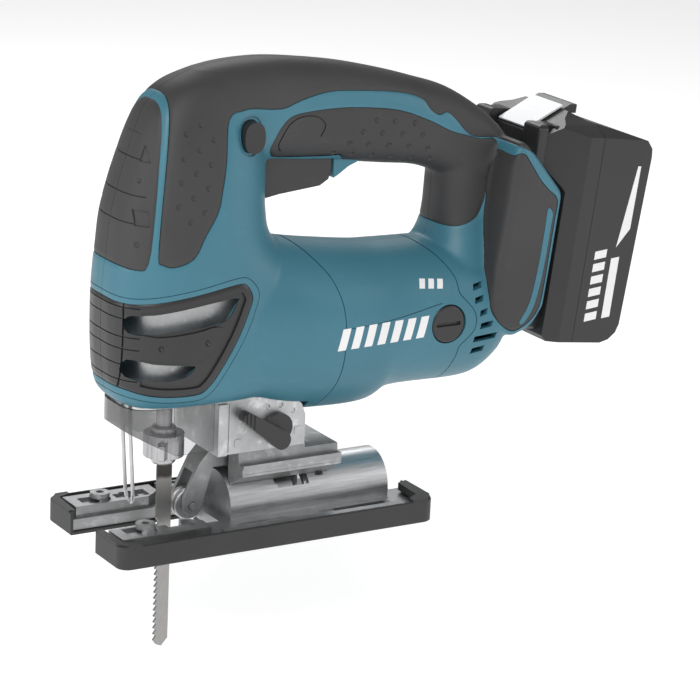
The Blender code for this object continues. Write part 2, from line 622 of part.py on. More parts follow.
node(tube("guide_low", ROD_R + GAP, 7.5, 74, 94, "z", (ROD_X, 0, 0)), (0.45, 0.33, 0.14), 0.4, 0.9)
high = rod("guide_high", 8, 145.3, 152, "z", (ROD_X, 0, 0), 28)
join(high, box("guide_wings", (ROD_X - 6, ROD_X + 6), (1 - room, room - 1), (145.3, 149)))
cut(high, rod("guide_high_bore", ROD_R + GAP, 130, 170, "z", (ROD_X, 0, 0), 24))
node(high, CAST, 0.4, 0.9)

# Plunger with its yoke, blade clamp and blade

plunger = rod("plunger", ROD_R, 50, 160, "z", (ROD_X, 0, 0), 24)
join(plunger, box("yoke_neck", (ROD_X, -37), (-3.6, 3.6), (GEAR_Z - 6.5, GEAR_Z + 6.5)))
yoke = box("yoke_plate", (-39, -34.5), (1.5 - room, room - 1.5), (GEAR_Z - 7, GEAR_Z + 7))
join(plunger, yoke)
cut(plunger, box("yoke_slot", (-37.6, -30), (-16, 16), (GEAR_Z - 2.9, GEAR_Z + 2.9)))
node(plunger, STEEL, 0.3, 0.95)

BLADE_X = ROD_X + 0.8
half_blade = BLADE_WIDTH / 2
profile = [(37, 5.2), (38, 6.2), (55.5, 6.2), (56.5, 5.4)]
holder = turned("clamp_body", profile, "z", (ROD_X, 0, 0), 28)
cut(holder, rod("clamp_bore", ROD_R + GAP, 49.7, 70, "z", (ROD_X, 0, 0), 24))
cut(holder, box("clamp_slit", (BLADE_X - half_blade - GAP, BLADE_X + half_blade + GAP),
                (-BLADE_THICK / 2 - GAP, BLADE_THICK / 2 + GAP), (30, 49)))
node(holder, STEEL, 0.35, 0.9)
sleeve = tube("clamp_sleeve", 6.5, 10.3, 41, 53, "z", (ROD_X, 0, 0), 32)
tab = [(ROD_X - 6, -6.5), (ROD_X - 9.5, -11.5), (ROD_X - 6.5, -13.5), (ROD_X - 2, -9)]
join(sleeve, prism("sleeve_tab", tab, 42, 50, "z"))
node(pivot(sleeve, ROD_X, 0, 47), (0.2, 0.2, 0.21), 0.4, 0.8)

saw = [(BLADE_X + half_blade, BLADE_TIP + 4), (BLADE_X + half_blade, 35), (BLADE_X + 3.2, 37), (BLADE_X + 3.2, 48.4),
       (BLADE_X - 3.2, 48.4), (BLADE_X - 3.2, 37), (BLADE_X - half_blade, 35), (BLADE_X - half_blade, 8)]
pitch = 3.2
for k in range(20):
    z = 6 - pitch * k
    saw.append((BLADE_X - half_blade + 1.7, z - 0.4))
    saw.append((BLADE_X - half_blade, z - pitch + 0.6))
saw.append((BLADE_X - half_blade + 1.7, BLADE_TIP + 1.2))
saw.append((BLADE_X + 0.6, BLADE_TIP))
node(prism("blade", saw, -BLADE_THICK / 2, BLADE_THICK / 2), (0.35, 0.34, 0.33), 0.35, 0.95)

# Counterweight, gears, armature and motor

weight = box("counterweight", (-31, -25), (-room, room), (GEAR_Z - 24, GEAR_Z + 34.5 - TIGHT))
cut(weight, box("weight_window", (-50, 0), (3.5 - room, room - 3.5), (GEAR_Z - 60, GEAR_Z + 29.5)))
node(weight, STEEL, 0.45, 0.9)

gear = toothed("drive_gear", GEAR_TEETH, MODULE * GEAR_TEETH / 2, -20, -12, (0, 0, GEAR_Z), 0.5 - GEAR_TEETH / 4 + 0)
join(gear, rod("crank_pin", 2.5, -33.9, -18, "x", (0, CRANK, GEAR_Z), 20))
cut(gear, rod("gear_bore", 3.1, -40, 0, "x", (0, 0, GEAR_Z), 24))
node(pivot(gear, -16, 0, GEAR_Z), STEEL, 0.35, 0.9)
node(rod("gear_pin", 2.8, -19.5, -1, "x", (0, 0, GEAR_Z), 20), STEEL, 0.3, 0.9)

turns = [(-21, 2.9), (28, 2.9), (30, 13), (33, 15), (70, 15), (73, 13), (76, 2.9), (86, 2.9), (86, 9), (104, 9),
         (104, 2.9), (114, 2.9)]
armature = turned("armature", turns, "x", (0, 0, MOTOR_Z), 20)
join(armature, toothed("pinion", PINION_TEETH, MODULE * PINION_TEETH / 2, -20, -12, (0, 0, MOTOR_Z),
                       PINION_TEETH / 4))
node(pivot(armature, 0, 0, MOTOR_Z), COPPER, 0.4, 0.7)
fan = tube("fan", 3.2, 6.5, 8, 18, "x", (0, 0, MOTOR_Z), 24)
join(fan, tube("fan_disc", 5, 25, 16, 18, "x", (0, 0, MOTOR_Z), 27))
for k in range(9):
    turn = 2 * math.pi * k / 9
    c, t = math.cos(turn), math.sin(turn)
    vane = [(5.8 * c - 0.7 * t, MOTOR_Z + 5.8 * t + 0.7 * c), (5.8 * c + 0.7 * t, MOTOR_Z + 5.8 * t - 0.7 * c),
            (24.5 * c + 0.7 * t, MOTOR_Z + 24.5 * t - 0.7 * c), (24.5 * c - 0.7 * t, MOTOR_Z + 24.5 * t + 0.7 * c)]
    join(fan, prism(f"vane_{k}", vane, 9, 16.8, "x"))
node(fan, (0.6, 0.58, 0.5), 0.5)
node(tube("stator", 16, 27, 28, 74, "x", (0, 0, MOTOR_Z), 28), (0.3, 0.3, 0.31), 0.5, 0.8)
node(tube("bearing_front", 3.2, 9, -7.5, -0.5, "x", (0, 0, MOTOR_Z)), STEEL, 0.25, 0.95)
node(tube("bearing_rear", 3.2, 8, 106, 112, "x", (0, 0, MOTOR_Z)), STEEL, 0.25, 0.95)
node(tube("end_bell", 8.3, 28, 107, 111, "x", (0, 0, MOTOR_Z), 28), BLACK, 0.5)

for name, side in (("left", -1), ("right", 1)):
    reach = sorted((9.4 * side, 20 * side))
    node(box(f"brush_{name}", (92.5, 99.5), reach, (MOTOR_Z - 3, MOTOR_Z + 3)), (0.05, 0.05, 0.05), 0.6, 0.3)
    steps = [(-35.2, 9.0), (-34.6, 9.8), (-27.4, 9.8), (-27.4, 6.6), (-20.6, 6.6)]
    if side > 0:
        steps = [(-along, radius) for along, radius in steps[::-1]]
    cap = turned(f"brush_cap_{name}", steps, "y", (96, 0, MOTOR_Z), 20)
    across = sorted((33.6 * side, 50 * side))
    cut(cap, box(f"cap_slot_{name}", (96 - 7, 96 + 7), across, (MOTOR_Z - 0.9, MOTOR_Z + 0.9)))
    node(cap, BLACK, 0.4)

# Switch, trigger, lock-off and housing screws

node(box("switch_unit", (-2, 46), (-8, 8), (197, 220), 1.0), BLACK, 0.5)
pull = [(-3, 170), (0, 168.8), (10, 170.6), (33, 173), (38, 176), (39.4, 182), (39.4, 190.3), (-3.6, 190.3),
        (-3.9, 180)]
node(prism("trigger", pull, -8.8, 8.8, "y", 1.2), SOFT, 0.5)
press = [(x, z + 204.5) for x, z in oval(-20.3, -9.2, 7.6, 2.4, 20)]
node(prism("lock_button", press, -27.5, 24.5, "y", 1.0), BLACK, 0.4)
for k, (x, z) in enumerate(SCREWS):
    screw = turned(f"housing_screw_{k + 1}", [(-12, 1.4), (8.3, 1.4), (8.3, 3), (10.6, 3), (11.2, 2.2)],
                   "y", (x, 0, z), 12)
    node(screw, STEEL, 0.3, 0.95)

# Roller guide, orbital lever, wire guard and dust cover

arm = [(-5.2, 35), (-5.2, 39.5), (-7.5, 41.6), (-24, 41.6), (-29, 36), (ROLLER_X - 5, ROLLER_Z + 5),
       (ROLLER_X - 5, ROLLER_Z - 2), (ROLLER_X - 2, ROLLER_Z - 4.6), (ROLLER_X + 3, ROLLER_Z - 4.4),
       (ROLLER_X + 5.5, ROLLER_Z), (-21.5, 33), (-7.5, 33)]
fork = prism("roller_arm", arm, -6.8, 6.8)
cut(fork, box("fork_gap", (-60, -20.5), (-4.5, 4.5), (0, 31)))
cut(fork, rod("fork_bore", 2.0 + GAP, -20, 20, "y", (ROLLER_X, 0, ROLLER_Z), 20))
cut(fork, rod("pivot_bore", 2.5 + GAP, -20, 20, "y", (ARM_X, 0, ARM_Z), 20))
node(pivot(fork, ARM_X, 0, ARM_Z), CAST, 0.4, 0.9)
wheel = turned("guide_roller", [(-4, ROLLER_R - 1), (-3.4, ROLLER_R), (-1, ROLLER_R), (-0.8, ROLLER_R - 0.7),
                                (0.8, ROLLER_R - 0.7), (1, ROLLER_R), (3.4, ROLLER_R), (4, ROLLER_R - 1),
                                (4, 2.3), (-4, 2.3)], "y", (ROLLER_X, 0, ROLLER_Z), 24, ring=True)
node(pivot(wheel, ROLLER_X, 0, ROLLER_Z), STEEL, 0.3, 0.95)
node(rod("roller_pin", 2.0, -7.4, 7.4, "y", (ROLLER_X, 0, ROLLER_Z), 20), STEEL, 0.3, 0.95)
node(rod("arm_pin", 2.5, -13.5, 13.5, "y", (ARM_X, 0, ARM_Z), 20), STEEL, 0.3, 0.95)
cut(bpy.data.objects["saddle"], rod("arm_pin_bore", 2.5 + GAP, -13.8, 13.8, "y", (ARM_X, 0, ARM_Z), 20))

handle = [(4.2 + 4.8 * math.cos(t), 51 + 4.8 * math.sin(t)) for t in [math.radians(a) for a in range(-125, 56, 20)]]
handle += [(-15 + 3 * math.cos(t), 64.5 + 3 * math.sin(t)) for t in [math.radians(a) for a in range(56, 236, 30)]]
lever = rod("orbital_lever", 7.5, -26, -22.6, "y", (5, 0, 56), 28)
join(lever, prism("lever_bar", handle, -31, -25))
join(lever, rod("lever_shaft", 3.0, -23.5, -15, "y", (5, 0, 56), 20))
node(pivot(lever, 5, -22.3, 56), (0.25, 0.25, 0.26), 0.4, 0.6)

path = [(-67, 4.1, 76.4), (-67, 4.1, 60), (-64.5, 4.1, 24), (-64.1, 3.2, 20.6), (-64, 1.4, 19.1)]
path += [(x, -y, z) for x, y, z in path[::-1]]
node(wire("guard_wire", path, 1.0), STEEL, 0.25, 0.95)

shield = prism("dust_cover", oval(-74.3, 10, 21.6, 4, 36), 47, 71.8, "z")
cut(shield, prism("shield_hollow", oval(-72.7, 8.4, 20.0, 4, 36), 30, 90, "z"))
cut(shield, box("shield_back", (-29.2, 60), (-40, 40), (30, 90)))
cut(shield, prism("shield_front", [(-90, 68), (-76, 61), (-48, 46), (-48, 20), (-90, 20)], -40, 40))
node(shield, (0.7, 0.7, 0.72), 0.1, 0.0, 0.9)

# Battery: case, cells, latch and label; terminals in the mount

front = lean_box("battery_front", (0, BATTERY_LENGTH), (0.3, 10), (-BATTERY_HALF, BATTERY_HALF), 2.5)
join(front, lean_box("rail_head", (3.5, BATTERY_LENGTH - 3), (-RAIL_DEPTH, 4), (-RAIL_HALF, RAIL_HALF), 1.5))
for side in (-1, 1):
    groove = sorted((25 * side, 40 * side))
    cut(front, lean_box(f"groove_{side}", (-20, 200), (-20, -15), groove))
cut(front, lean_box("terminal_slot", (-20, 49), (-60, -14), (-14, 14)))
cut(front, lean_box("latch_slot", (LATCH_UP - 0.4, 200), (-60, -2.6), (-15.4, 15.4)))
cut(front, lean_box("case_hollow_a", (2.5, BATTERY_LENGTH - 2.5), (1.8, 60), (2.5 - BATTERY_HALF, BATTERY_HALF - 2.5)))
node(front, BLACK, 0.45)
rear = lean_box("battery_rear", (0, BATTERY_LENGTH), (10.3, BATTERY_DEPTH), (-BATTERY_HALF, BATTERY_HALF), 2.5)
cut(rear, lean_box("case_hollow_b", (2.5, BATTERY_LENGTH - 2.5), (-20, BATTERY_DEPTH - 2),
                   (2.5 - BATTERY_HALF, BATTERY_HALF - 2.5)))
node(rear, BLACK, 0.45)
cells = lean_box("cell_pack", (6, BATTERY_LENGTH - 6), (4, BATTERY_DEPTH - 4), (31.5, 33.5))
join(cells, lean_box("cell_frame", (6, BATTERY_LENGTH - 6), (4, BATTERY_DEPTH - 4), (-33.5, -31.5)))
for k in range(10):
    x, z = lean(12.5 + 22 * (k % 5), 11 + 18 * (k // 5))
    join(cells, rod(f"cell_{k}", 8.8, -33, 33, "y", (x, 0, z), 12))
node(cells, (0.1, 0.25, 0.15), 0.5)

catch = [lean(LATCH_UP + u, b) for u, b in ((0, -22), (21.4, -22), (36.9, 2), (36.9, 6), (32.2, 6), (32.2, -2.4),
                                            (27.5, -8), (0, -8))]
latch = prism("battery_latch", catch, -15, 15)
join(latch, lean_box("hook", (LATCH_UP + 0.4, LATCH_UP + 4), (-29, -21), (-10, 10)))
node(latch, BLACK, 0.45)
strip = [lean(LATCH_UP + u, b) for u, b in ((22.6, -21.3), (35.2, -1.8), (36.0, -2.3), (23.4, -21.8))]
node(prism("battery_label", strip, -13.3, 13.3), (0.85, 0.85, 0.85), 0.4)
block = lean_box("terminal_block", (10, 46), (-RAIL_DEPTH - 0.7, -16), (-13, 13), 0.6)
node(block, (0.6, 0.5, 0.2), 0.4)
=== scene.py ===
"""Cordless orbital jigsaw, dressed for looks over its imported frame. Metres; +X to the battery, +Z up."""
import json
import math

import bmesh
import bpy
from mathutils import Matrix, Vector
from mathutils.bvhtree import BVHTree

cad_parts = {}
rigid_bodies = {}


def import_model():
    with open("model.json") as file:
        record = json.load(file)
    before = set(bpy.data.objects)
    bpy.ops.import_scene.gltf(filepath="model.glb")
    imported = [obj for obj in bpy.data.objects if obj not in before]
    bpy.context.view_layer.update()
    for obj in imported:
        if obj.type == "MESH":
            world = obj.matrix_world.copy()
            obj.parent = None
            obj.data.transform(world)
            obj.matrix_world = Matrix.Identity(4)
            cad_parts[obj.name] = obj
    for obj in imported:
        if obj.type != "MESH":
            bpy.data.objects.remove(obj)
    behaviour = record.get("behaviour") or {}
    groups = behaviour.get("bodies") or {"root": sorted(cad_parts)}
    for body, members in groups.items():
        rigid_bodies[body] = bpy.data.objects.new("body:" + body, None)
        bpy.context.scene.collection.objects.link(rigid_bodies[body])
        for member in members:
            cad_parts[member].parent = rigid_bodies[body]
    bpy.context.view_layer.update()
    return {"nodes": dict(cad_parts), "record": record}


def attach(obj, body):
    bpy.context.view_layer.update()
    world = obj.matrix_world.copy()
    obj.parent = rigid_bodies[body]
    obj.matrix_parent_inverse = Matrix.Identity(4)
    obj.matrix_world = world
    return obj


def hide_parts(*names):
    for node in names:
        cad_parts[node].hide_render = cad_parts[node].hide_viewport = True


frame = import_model()
cad = frame["nodes"]

# Camera, floor and light. The saw hangs just over a pale floor in an even, soft studio light
# with a long lens a metre and a half away, from the blade end and a little above.
turn, rise, roll = math.radians(-31.64), math.radians(16.59), math.radians(2.63)
toward = Vector((math.sin(turn) * math.cos(rise), -math.cos(turn) * math.cos(rise), math.sin(rise)))
level = Vector((math.cos(turn), math.sin(turn), 0))
upright = toward.cross(level)
camera_right = level * math.cos(roll) + upright * math.sin(roll)
camera_up = upright * math.cos(roll) - level * math.sin(roll)
distance, aside, above = 1.534, 0.055, 0.0859
camera_place = toward * distance + camera_right * aside + camera_up * above
lens = bpy.data.cameras.new("lens")
lens.lens = 155.5
lens.sensor_width = 36.0
lens.clip_start = 0.05
camera = bpy.data.objects.new("camera", lens)
camera.matrix_world = Matrix((
    (camera_right.x, camera_up.x, toward.x, camera_place.x),
    (camera_right.y, camera_up.y, toward.y, camera_place.y),
    (camera_right.z, camera_up.z, toward.z, camera_place.z),
    (0, 0, 0, 1)))
bpy.context.scene.collection.objects.link(camera)
bpy.context.scene.camera = camera
bpy.context.scene.view_settings.view_transform = "Standard"

for name, place, aim, size, power in (
        ("key", (-0.75, -1.05, 1.15), (0.05, 0, 0.1), 0.9, 14.0),
        ("side", (1.3, -0.9, 0.55), (0.08, 0, 0.12), 0.7, 4.0),
        ("front", (-1.3, 0.15, 0.45), (0, 0, 0.1), 0.6, 4.2),
        ("rim", (0.5, 1.2, 1.2), (0.05, 0, 0.12), 0.8, 7.0)):
    light = bpy.data.lights.new(name, "AREA")
    light.size = size
    light.energy = power
    lamp = bpy.data.objects.new(name, light)
    lamp.location = place
    lamp.rotation_euler = (Vector(place) - Vector(aim)).to_track_quat("Z", "Y").to_euler()
    bpy.context.scene.collection.objects.link(lamp)
world = bpy.data.worlds.new("studio")
world.use_nodes = True
world.node_tree.nodes["Background"].inputs["Color"].default_value = (1, 1, 1, 1)
world.node_tree.nodes["Background"].inputs["Strength"].default_value = 0.36
bpy.context.scene.world = world


class Value:
    """A shader socket that takes part in Python arithmetic; each step adds a Math node."""

    def __init__(self, maker, socket):
        self.maker = maker
        self.socket = socket

    def step(self, operation, first, second, clamp=False):
        settings = {"operation": operation, "use_clamp": clamp}
        return self.maker.add("ShaderNodeMath", settings, {0: first, 1: second})

    def __add__(self, other):
        return self.step("ADD", self, other)

    __radd__ = __add__

    def __mul__(self, other):
        return self.step("MULTIPLY", self, other)

    __rmul__ = __mul__

    def __sub__(self, other):
        return self.step("SUBTRACT", self, other)

    def __rsub__(self, other):
        return self.step("SUBTRACT", other, self)

    def __truediv__(self, other):
        return self.step("DIVIDE", self, other)

    def over(self, edge, width):
        """0 below the edge and 1 above it, with a ramp of that width between."""
        return self.step("DIVIDE", self - edge, width, clamp=True)


class Finish:
    """A material being made: one Principled shader and the nodes that feed it."""

    def __init__(self, name, colour, rough, metal=0.0, **constants):
        self.material = bpy.data.materials.new(name)
        self.material.use_nodes = True
        self.nodes = self.material.node_tree.nodes
        self.links = self.material.node_tree.links
        self.shader = self.nodes["Principled BSDF"]
        self.set("Base Color", (*colour, 1))
        self.set("Roughness", rough)
        self.set("Metallic", metal)
        for key, value in constants.items():
            self.set(key.replace("_", " "), value)
        self.place = self.add("ShaderNodeTexCoord", {}, {}, "Object")

    def set(self, name, value):
        if isinstance(value, Value):
            self.links.new(value.socket, self.shader.inputs[name])
        else:
            self.shader.inputs[name].default_value = value

    def add(self, kind, settings, inputs, output=0):
        node = self.nodes.new(kind)
        for key, value in settings.items():
            setattr(node, key, value)
        for key, value in inputs.items():
            if isinstance(value, Value):
                self.links.new(value.socket, node.inputs[key])
            else:
                node.inputs[key].default_value = value
        return Value(self, node.outputs[output])

    def stretched(self, scale):
        return self.add("ShaderNodeMapping", {}, {"Vector": self.place, "Scale": scale})

    def noise(self, scale, detail=3.0, rough=0.5, vector=None):
        inputs = {"Vector": vector or self.place, "Scale": scale, "Detail": detail, "Roughness": rough}
        return self.add("ShaderNodeTexNoise", {}, inputs, 0)

    def cells(self, scale):
        return self.add("ShaderNodeTexVoronoi", {}, {"Vector": self.place, "Scale": scale}, 0)

    def mixed(self, factor, first, second):
        """One colour fading into another."""
        inputs = {0: factor}
        for key, value in ((6, first), (7, second)):
            inputs[key] = value if isinstance(value, Value) else (*value, 1)
        return self.add("ShaderNodeMix", {"data_type": "RGBA"}, inputs, 2)

    def bump(self, height, strength, distance):
        inputs = {"Height": height, "Strength": strength, "Distance": distance}
        self.set("Normal", self.add("ShaderNodeBump", {}, inputs))
        return self.material


def tinted(colour, by):
    return tuple(min(1.0, c * by) for c in colour)


def moulded(name, colour, rough, grain=2600.0, depth=0.00003, spread=0.08, **constants):
    """Moulded plastic or rubber: a spark-eroded grain, faint mottling and handling marks."""
    made = Finish(name, colour, rough, **constants)
    cloud = made.noise(22.0, 3.0)
    rubbed = made.noise(85.0, 4.0, 0.6, made.stretched((1.0, 1.0, 2.2)))
    grains = made.noise(grain, 2.0, 0.65)
    shade = made.mixed(cloud.over(0.35, 0.3), tinted(colour, 1 - spread), tinted(colour, 1 + spread))
    worn = rubbed.over(0.6, 0.12) * 0.35
    made.set("Base Color", made.mixed(worn, shade, tinted(colour, 1.25)))
    made.set("Roughness", rough + (cloud - 0.5) * 0.16 - worn * 0.14)
    return made.bump(grains, 0.5, depth)


floor_finish = Finish("floor_paper", (0.93, 0.93, 0.93), 0.9)
floor_tone = floor_finish.noise(3.0, 2.0)
floor_finish.set("Emission Color", (1, 1, 1, 1))
floor_finish.set("Emission Strength", 0.42)
floor_finish.set("Base Color", floor_finish.mixed(floor_tone, (0.92, 0.92, 0.92), (0.95, 0.95, 0.95)))
floor_mesh = bpy.data.meshes.new("floor")
floor_height = -0.078
floor_corners = [(x, y, floor_height) for x, y in ((-6, -6), (6, -6), (6, 6), (-6, 6))]
floor_mesh.from_pydata(floor_corners, [], [(0, 1, 2, 3)])
floor_mesh.materials.append(floor_finish.bump(floor_finish.noise(300.0), 0.1, 0.0002))
floor = bpy.data.objects.new("floor", floor_mesh)
bpy.context.scene.collection.objects.link(floor)

# Housing halves and soft grips: two glass-filled nylon mouldings, 3.5 mm thick, that meet on the middle
# plane, with pockets for four soft pads on each side, the panel lines of the barrel and the rear air slots.
MM = 0.001
RIGHT_WAY = {
    "x": Matrix(((0, 0, 1, 0), (1, 0, 0, 0), (0, 1, 0, 0), (0, 0, 0, 1))),
    "y": Matrix(((1, 0, 0, 0), (0, 0, -1, 0), (0, 1, 0, 0), (0, 0, 0, 1))),
    "z": Matrix.Identity(4),
}
bench = bpy.data.collections.new("bench")
bpy.context.scene.collection.children.link(bench)


def settled(item, name=None):
    """The item as a plain mesh, with its modifiers worked out; the item itself is used up."""
    name = name or item.name
    if item.name not in bpy.context.scene.objects:
        bench.objects.link(item)
    bpy.context.view_layer.update()
    mesh = bpy.data.meshes.new_from_object(item.evaluated_get(bpy.context.evaluated_depsgraph_get()))
    bpy.data.objects.remove(item, do_unlink=True)
    solid = bpy.data.objects.new(name, mesh)
    bench.objects.link(solid)
    return solid


def prism(name, outline, low, high, axis="y", ease=0.0, steps=2):
    """A flat outline with a thickness, in millimetres; ease rounds its edges."""
    count = len(outline)
    area = sum(a[0] * b[1] - b[0] * a[1] for a, b in zip(outline, outline[1:] + outline[:1]))
    outline = outline if area > 0 else outline[::-1]
    ends = (-high, -low) if axis == "y" else (low, high)
    points = [(u * MM, v * MM, w * MM) for w in ends for u, v in outline]
    faces = [tuple(range(count))[::-1], tuple(range(count, 2 * count))]
    faces += [(k, (k + 1) % count, count + (k + 1) % count, count + k) for k in range(count)]
    mesh = bpy.data.meshes.new(name)
    mesh.from_pydata(points, [], faces)
    mesh.transform(RIGHT_WAY[axis])
    item = bpy.data.objects.new(name, mesh)
    bench.objects.link(item)
    if ease:
        edge = item.modifiers.new("edge", "BEVEL")
        edge.width = ease * MM
        edge.segments = steps
        edge.angle_limit = math.radians(32)
    return item


def block(name, x, y, z):
    """A box from its three spans, in millimetres."""
    return prism(name, [(x[0], y[0]), (x[1], y[0]), (x[1], y[1]), (x[0], y[1])], z[0], z[1], "z")


def span(side, near, far):
    """A stretch across the saw on one side of its middle plane: side is -1 for left and 1 for right."""
    return (near, far) if side > 0 else (-far, -near)


def cut(item, *cutters, operation="DIFFERENCE"):
    """Adds one Boolean for each cutter and works them all out."""
    for cutter in cutters:
        step = item.modifiers.new(cutter.name, "BOOLEAN")
        step.solver = "MANIFOLD"
        step.operation = operation
        step.object = cutter
    return settled(item)


def drop(*items):
    """Clears used tools off the bench."""
    for item in items:
        bpy.data.objects.remove(item, do_unlink=True)


def squared(low, high, half, power, count, bow=0.0, tail=None):
    """A squared oval; bow carries its corners back from a curved front, tail is the rear's own power."""
    middle, reach = (low + high) / 2, (high - low) / 2
    points = []
    for k in range(count):
        angle = 2 * math.pi * (k + 0.5) / count
        c, s = math.cos(angle), math.sin(angle)
        share = power if c < 0 or tail is None else tail
        along = middle + reach * math.copysign(abs(c) ** (2 / share), c)
        across = half * math.copysign(abs(s) ** (2 / share), s)
        if c < 0:
            along += bow * (across / half) ** 2 * (middle - along) / reach
        points.append((along, across))
    return points


def eased(stations, parts):
    """More stations on a smooth curve through the given ones."""
    made = []
    for k in range(len(stations) - 1):
        a, b, c, d = (stations[max(0, min(len(stations) - 1, k + n))] for n in (-1, 0, 1, 2))
        for part in range(parts):
            t = part / parts
            made.append([0.5 * (2 * q + (r - p) * t + (2 * p - 5 * q + 4 * r - s) * t * t
                                + (3 * q - p - 3 * r + s) * t ** 3) for p, q, r, s in zip(a, b, c, d)])
    return made + [list(stations[-1])]


def loft(name, axis, power, stations, inset, bow, tail):
    """A skin over squared ovals, each given by its place along the axis, its span and its half width."""
    count = 56
    loops = []
    rows = eased(stations, 5)
    for k, (along, low, high, half) in enumerate(rows):
        along += inset if k == 0 else -inset if k == len(rows) - 1 else 0
        shape = squared(low + inset, high - inset, half - inset, power, count, bow, tail)
        loops.append([(p, q, along) if axis == "z" else (along, q, p) for p, q in shape])
    points = [[c * MM for c in point] for loop in loops for point in loop]
    faces = [tuple(range(count))]
    for row in range(len(loops) - 1):
        for k in range(count):
            near, far, after = row * count, (row + 1) * count, (k + 1) % count
            faces.append((near + k, far + k, far + after, near + after))
    faces.append(tuple((len(loops) - 1) * count + k for k in range(count))[::-1])
    mesh = bpy.data.meshes.new(name)
    mesh.from_pydata(points, [], faces)
    sheet = bmesh.new()
    sheet.from_mesh(mesh)
    bmesh.ops.recalc_face_normals(sheet, faces=sheet.faces)
    if sheet.calc_volume(signed=True) < 0:
        bmesh.ops.reverse_faces(sheet, faces=sheet.faces[:])
    sheet.to_mesh(mesh)
    sheet.free()
    item = bpy.data.objects.new(name, mesh)
    bench.objects.link(item)
    return item


# Each form has a name, an axis, its squareness, bow and tail, and then its stations.
FORMS = (
    ("column", "z", 4.0, 5.0, 2.1, (
        (73, -74, 22, 26), (79, -79.5, 26, 29.5), (95, -82, 30, 31.5), (126, -82.5, 30, 31.5),
        (150, -80.5, 8, 30.5), (165, -79, 3.5, 29.5), (180, -75.5, 3, 28.3), (195, -71, 3, 26.5),
        (209, -66.5, 5, 23.5), (220, -61, 8, 20.5), (229, -51, 10, 16.5), (235.5, -36, 8, 9.5))),
    ("handle", "x", 2.5, 0.0, None, (
        (-46, 192, 230, 12), (-36, 190, 235, 17.5), (-20, 189, 238, 20), (0, 188, 239, 19.5),
        (20, 185.5, 237.5, 17.5), (45, 183.5, 234, 17), (70, 180.5, 228.5, 17), (90, 178, 223, 17),
        (106, 172, 218, 17.5), (120, 164, 210.5, 18.5), (132, 158, 202, 19.5), (141, 158, 193, 18.5))),
    ("post", "z", 2.6, 0.0, None, (
        (122, 92, 146, 29.5), (134, 98, 148, 25.5), (144, 102, 149, 21.5), (155, 103, 149, 18.5),
        (170, 103.5, 148, 17.5), (184, 105, 146, 17.5), (197, 110, 138, 15.5))),
    ("barrel", "x", 2.25, 0.0, None, (
        (-40, 76, 148, 26), (-20, 66, 150, 30), (4, 60, 149, 33.5), (28, 58, 145, 35.5), (58, 58, 141, 35.5),
        (73, 64.5, 140, 35.5), (112, 64.5, 139, 35.5), (124, 67, 138, 35.5), (133, 74, 134, 33.5))),
)
MOUNT = [(122, 97), (120, 112), (121, 130), (124, 148), (127, 168), (129, 189), (134, 195), (141, 188),
         (151, 176), (160.3, 165), (158.2, 150), (155.5, 128), (152.5, 106), (146, 96), (134, 91)]


def grown(outline, by):
    """The outline moved outwards, corner by corner."""
    area = sum(a[0] * b[1] - b[0] * a[1] for a, b in zip(outline, outline[1:] + outline[:1]))
    side = 1 if area > 0 else -1
    moved = []
    for k, (x, z) in enumerate(outline):
        ax, az = outline[k - 1]
        bx, bz = outline[(k + 1) % len(outline)]
        first, second = math.hypot(x - ax, z - az), math.hypot(bx - x, bz - z)
        n1, n2 = ((z - az) / first, (ax - x) / first), ((bz - z) / second, (x - bx) / second)
        scale = side * by / max(0.4, 1 + n1[0] * n2[0] + n1[1] * n2[1])
        moved.append((x + (n1[0] + n2[0]) * scale, z + (n1[1] + n2[1]) * scale))
    return moved


def rounded(outline, parts=4, closed=True):
    """The outline drawn as a smooth curve through its corners."""
    count = len(outline)
    pick = (lambda k: outline[k % count]) if closed else (lambda k: outline[max(0, min(count - 1, k))])
    made = []
    for k in range(count if closed else count - 1):
        a, b, c, d = pick(k - 1), pick(k), pick(k + 1), pick(k + 2)
        for part in range(parts):
            t = part / parts
            made.append(tuple(0.5 * (2 * q + (r - p) * t + (2 * p - 5 * q + 4 * r - s) * t * t
                                     + (3 * q - p - 3 * r + s) * t ** 3) for p, q, r, s in zip(a, b, c, d)))
    return made if closed else made + [outline[-1]]


def body(name, inset, voxel, smoothing):
    """The whole outside as one skin: four lofts and the battery mount, blended where they meet."""
    first, *others = [loft(f"{name}_{label}", axis, power, stations, inset, bow, tail)
                      for label, axis, power, bow, tail, stations in FORMS]
    others.append(prism(f"{name}_mount", grown(MOUNT, -inset), inset - 38.5, 38.5 - inset, "y", 4.0, 4))
    joined = cut(first, *others, operation="UNION")
    drop(*others)
    skin = joined.modifiers.new("skin", "REMESH")
    skin.mode = "VOXEL"
    skin.voxel_size = voxel * MM
    ease = joined.modifiers.new("ease", "SMOOTH")
    ease.factor = 0.5
    ease.iterations = smoothing
    return settled(joined, name)


outer = body("skin", 0.0, 1.25, 7)
under = body("under_pads", 1.9, 2.0, 4)
inside = body("inside", 3.5, 2.6, 3)

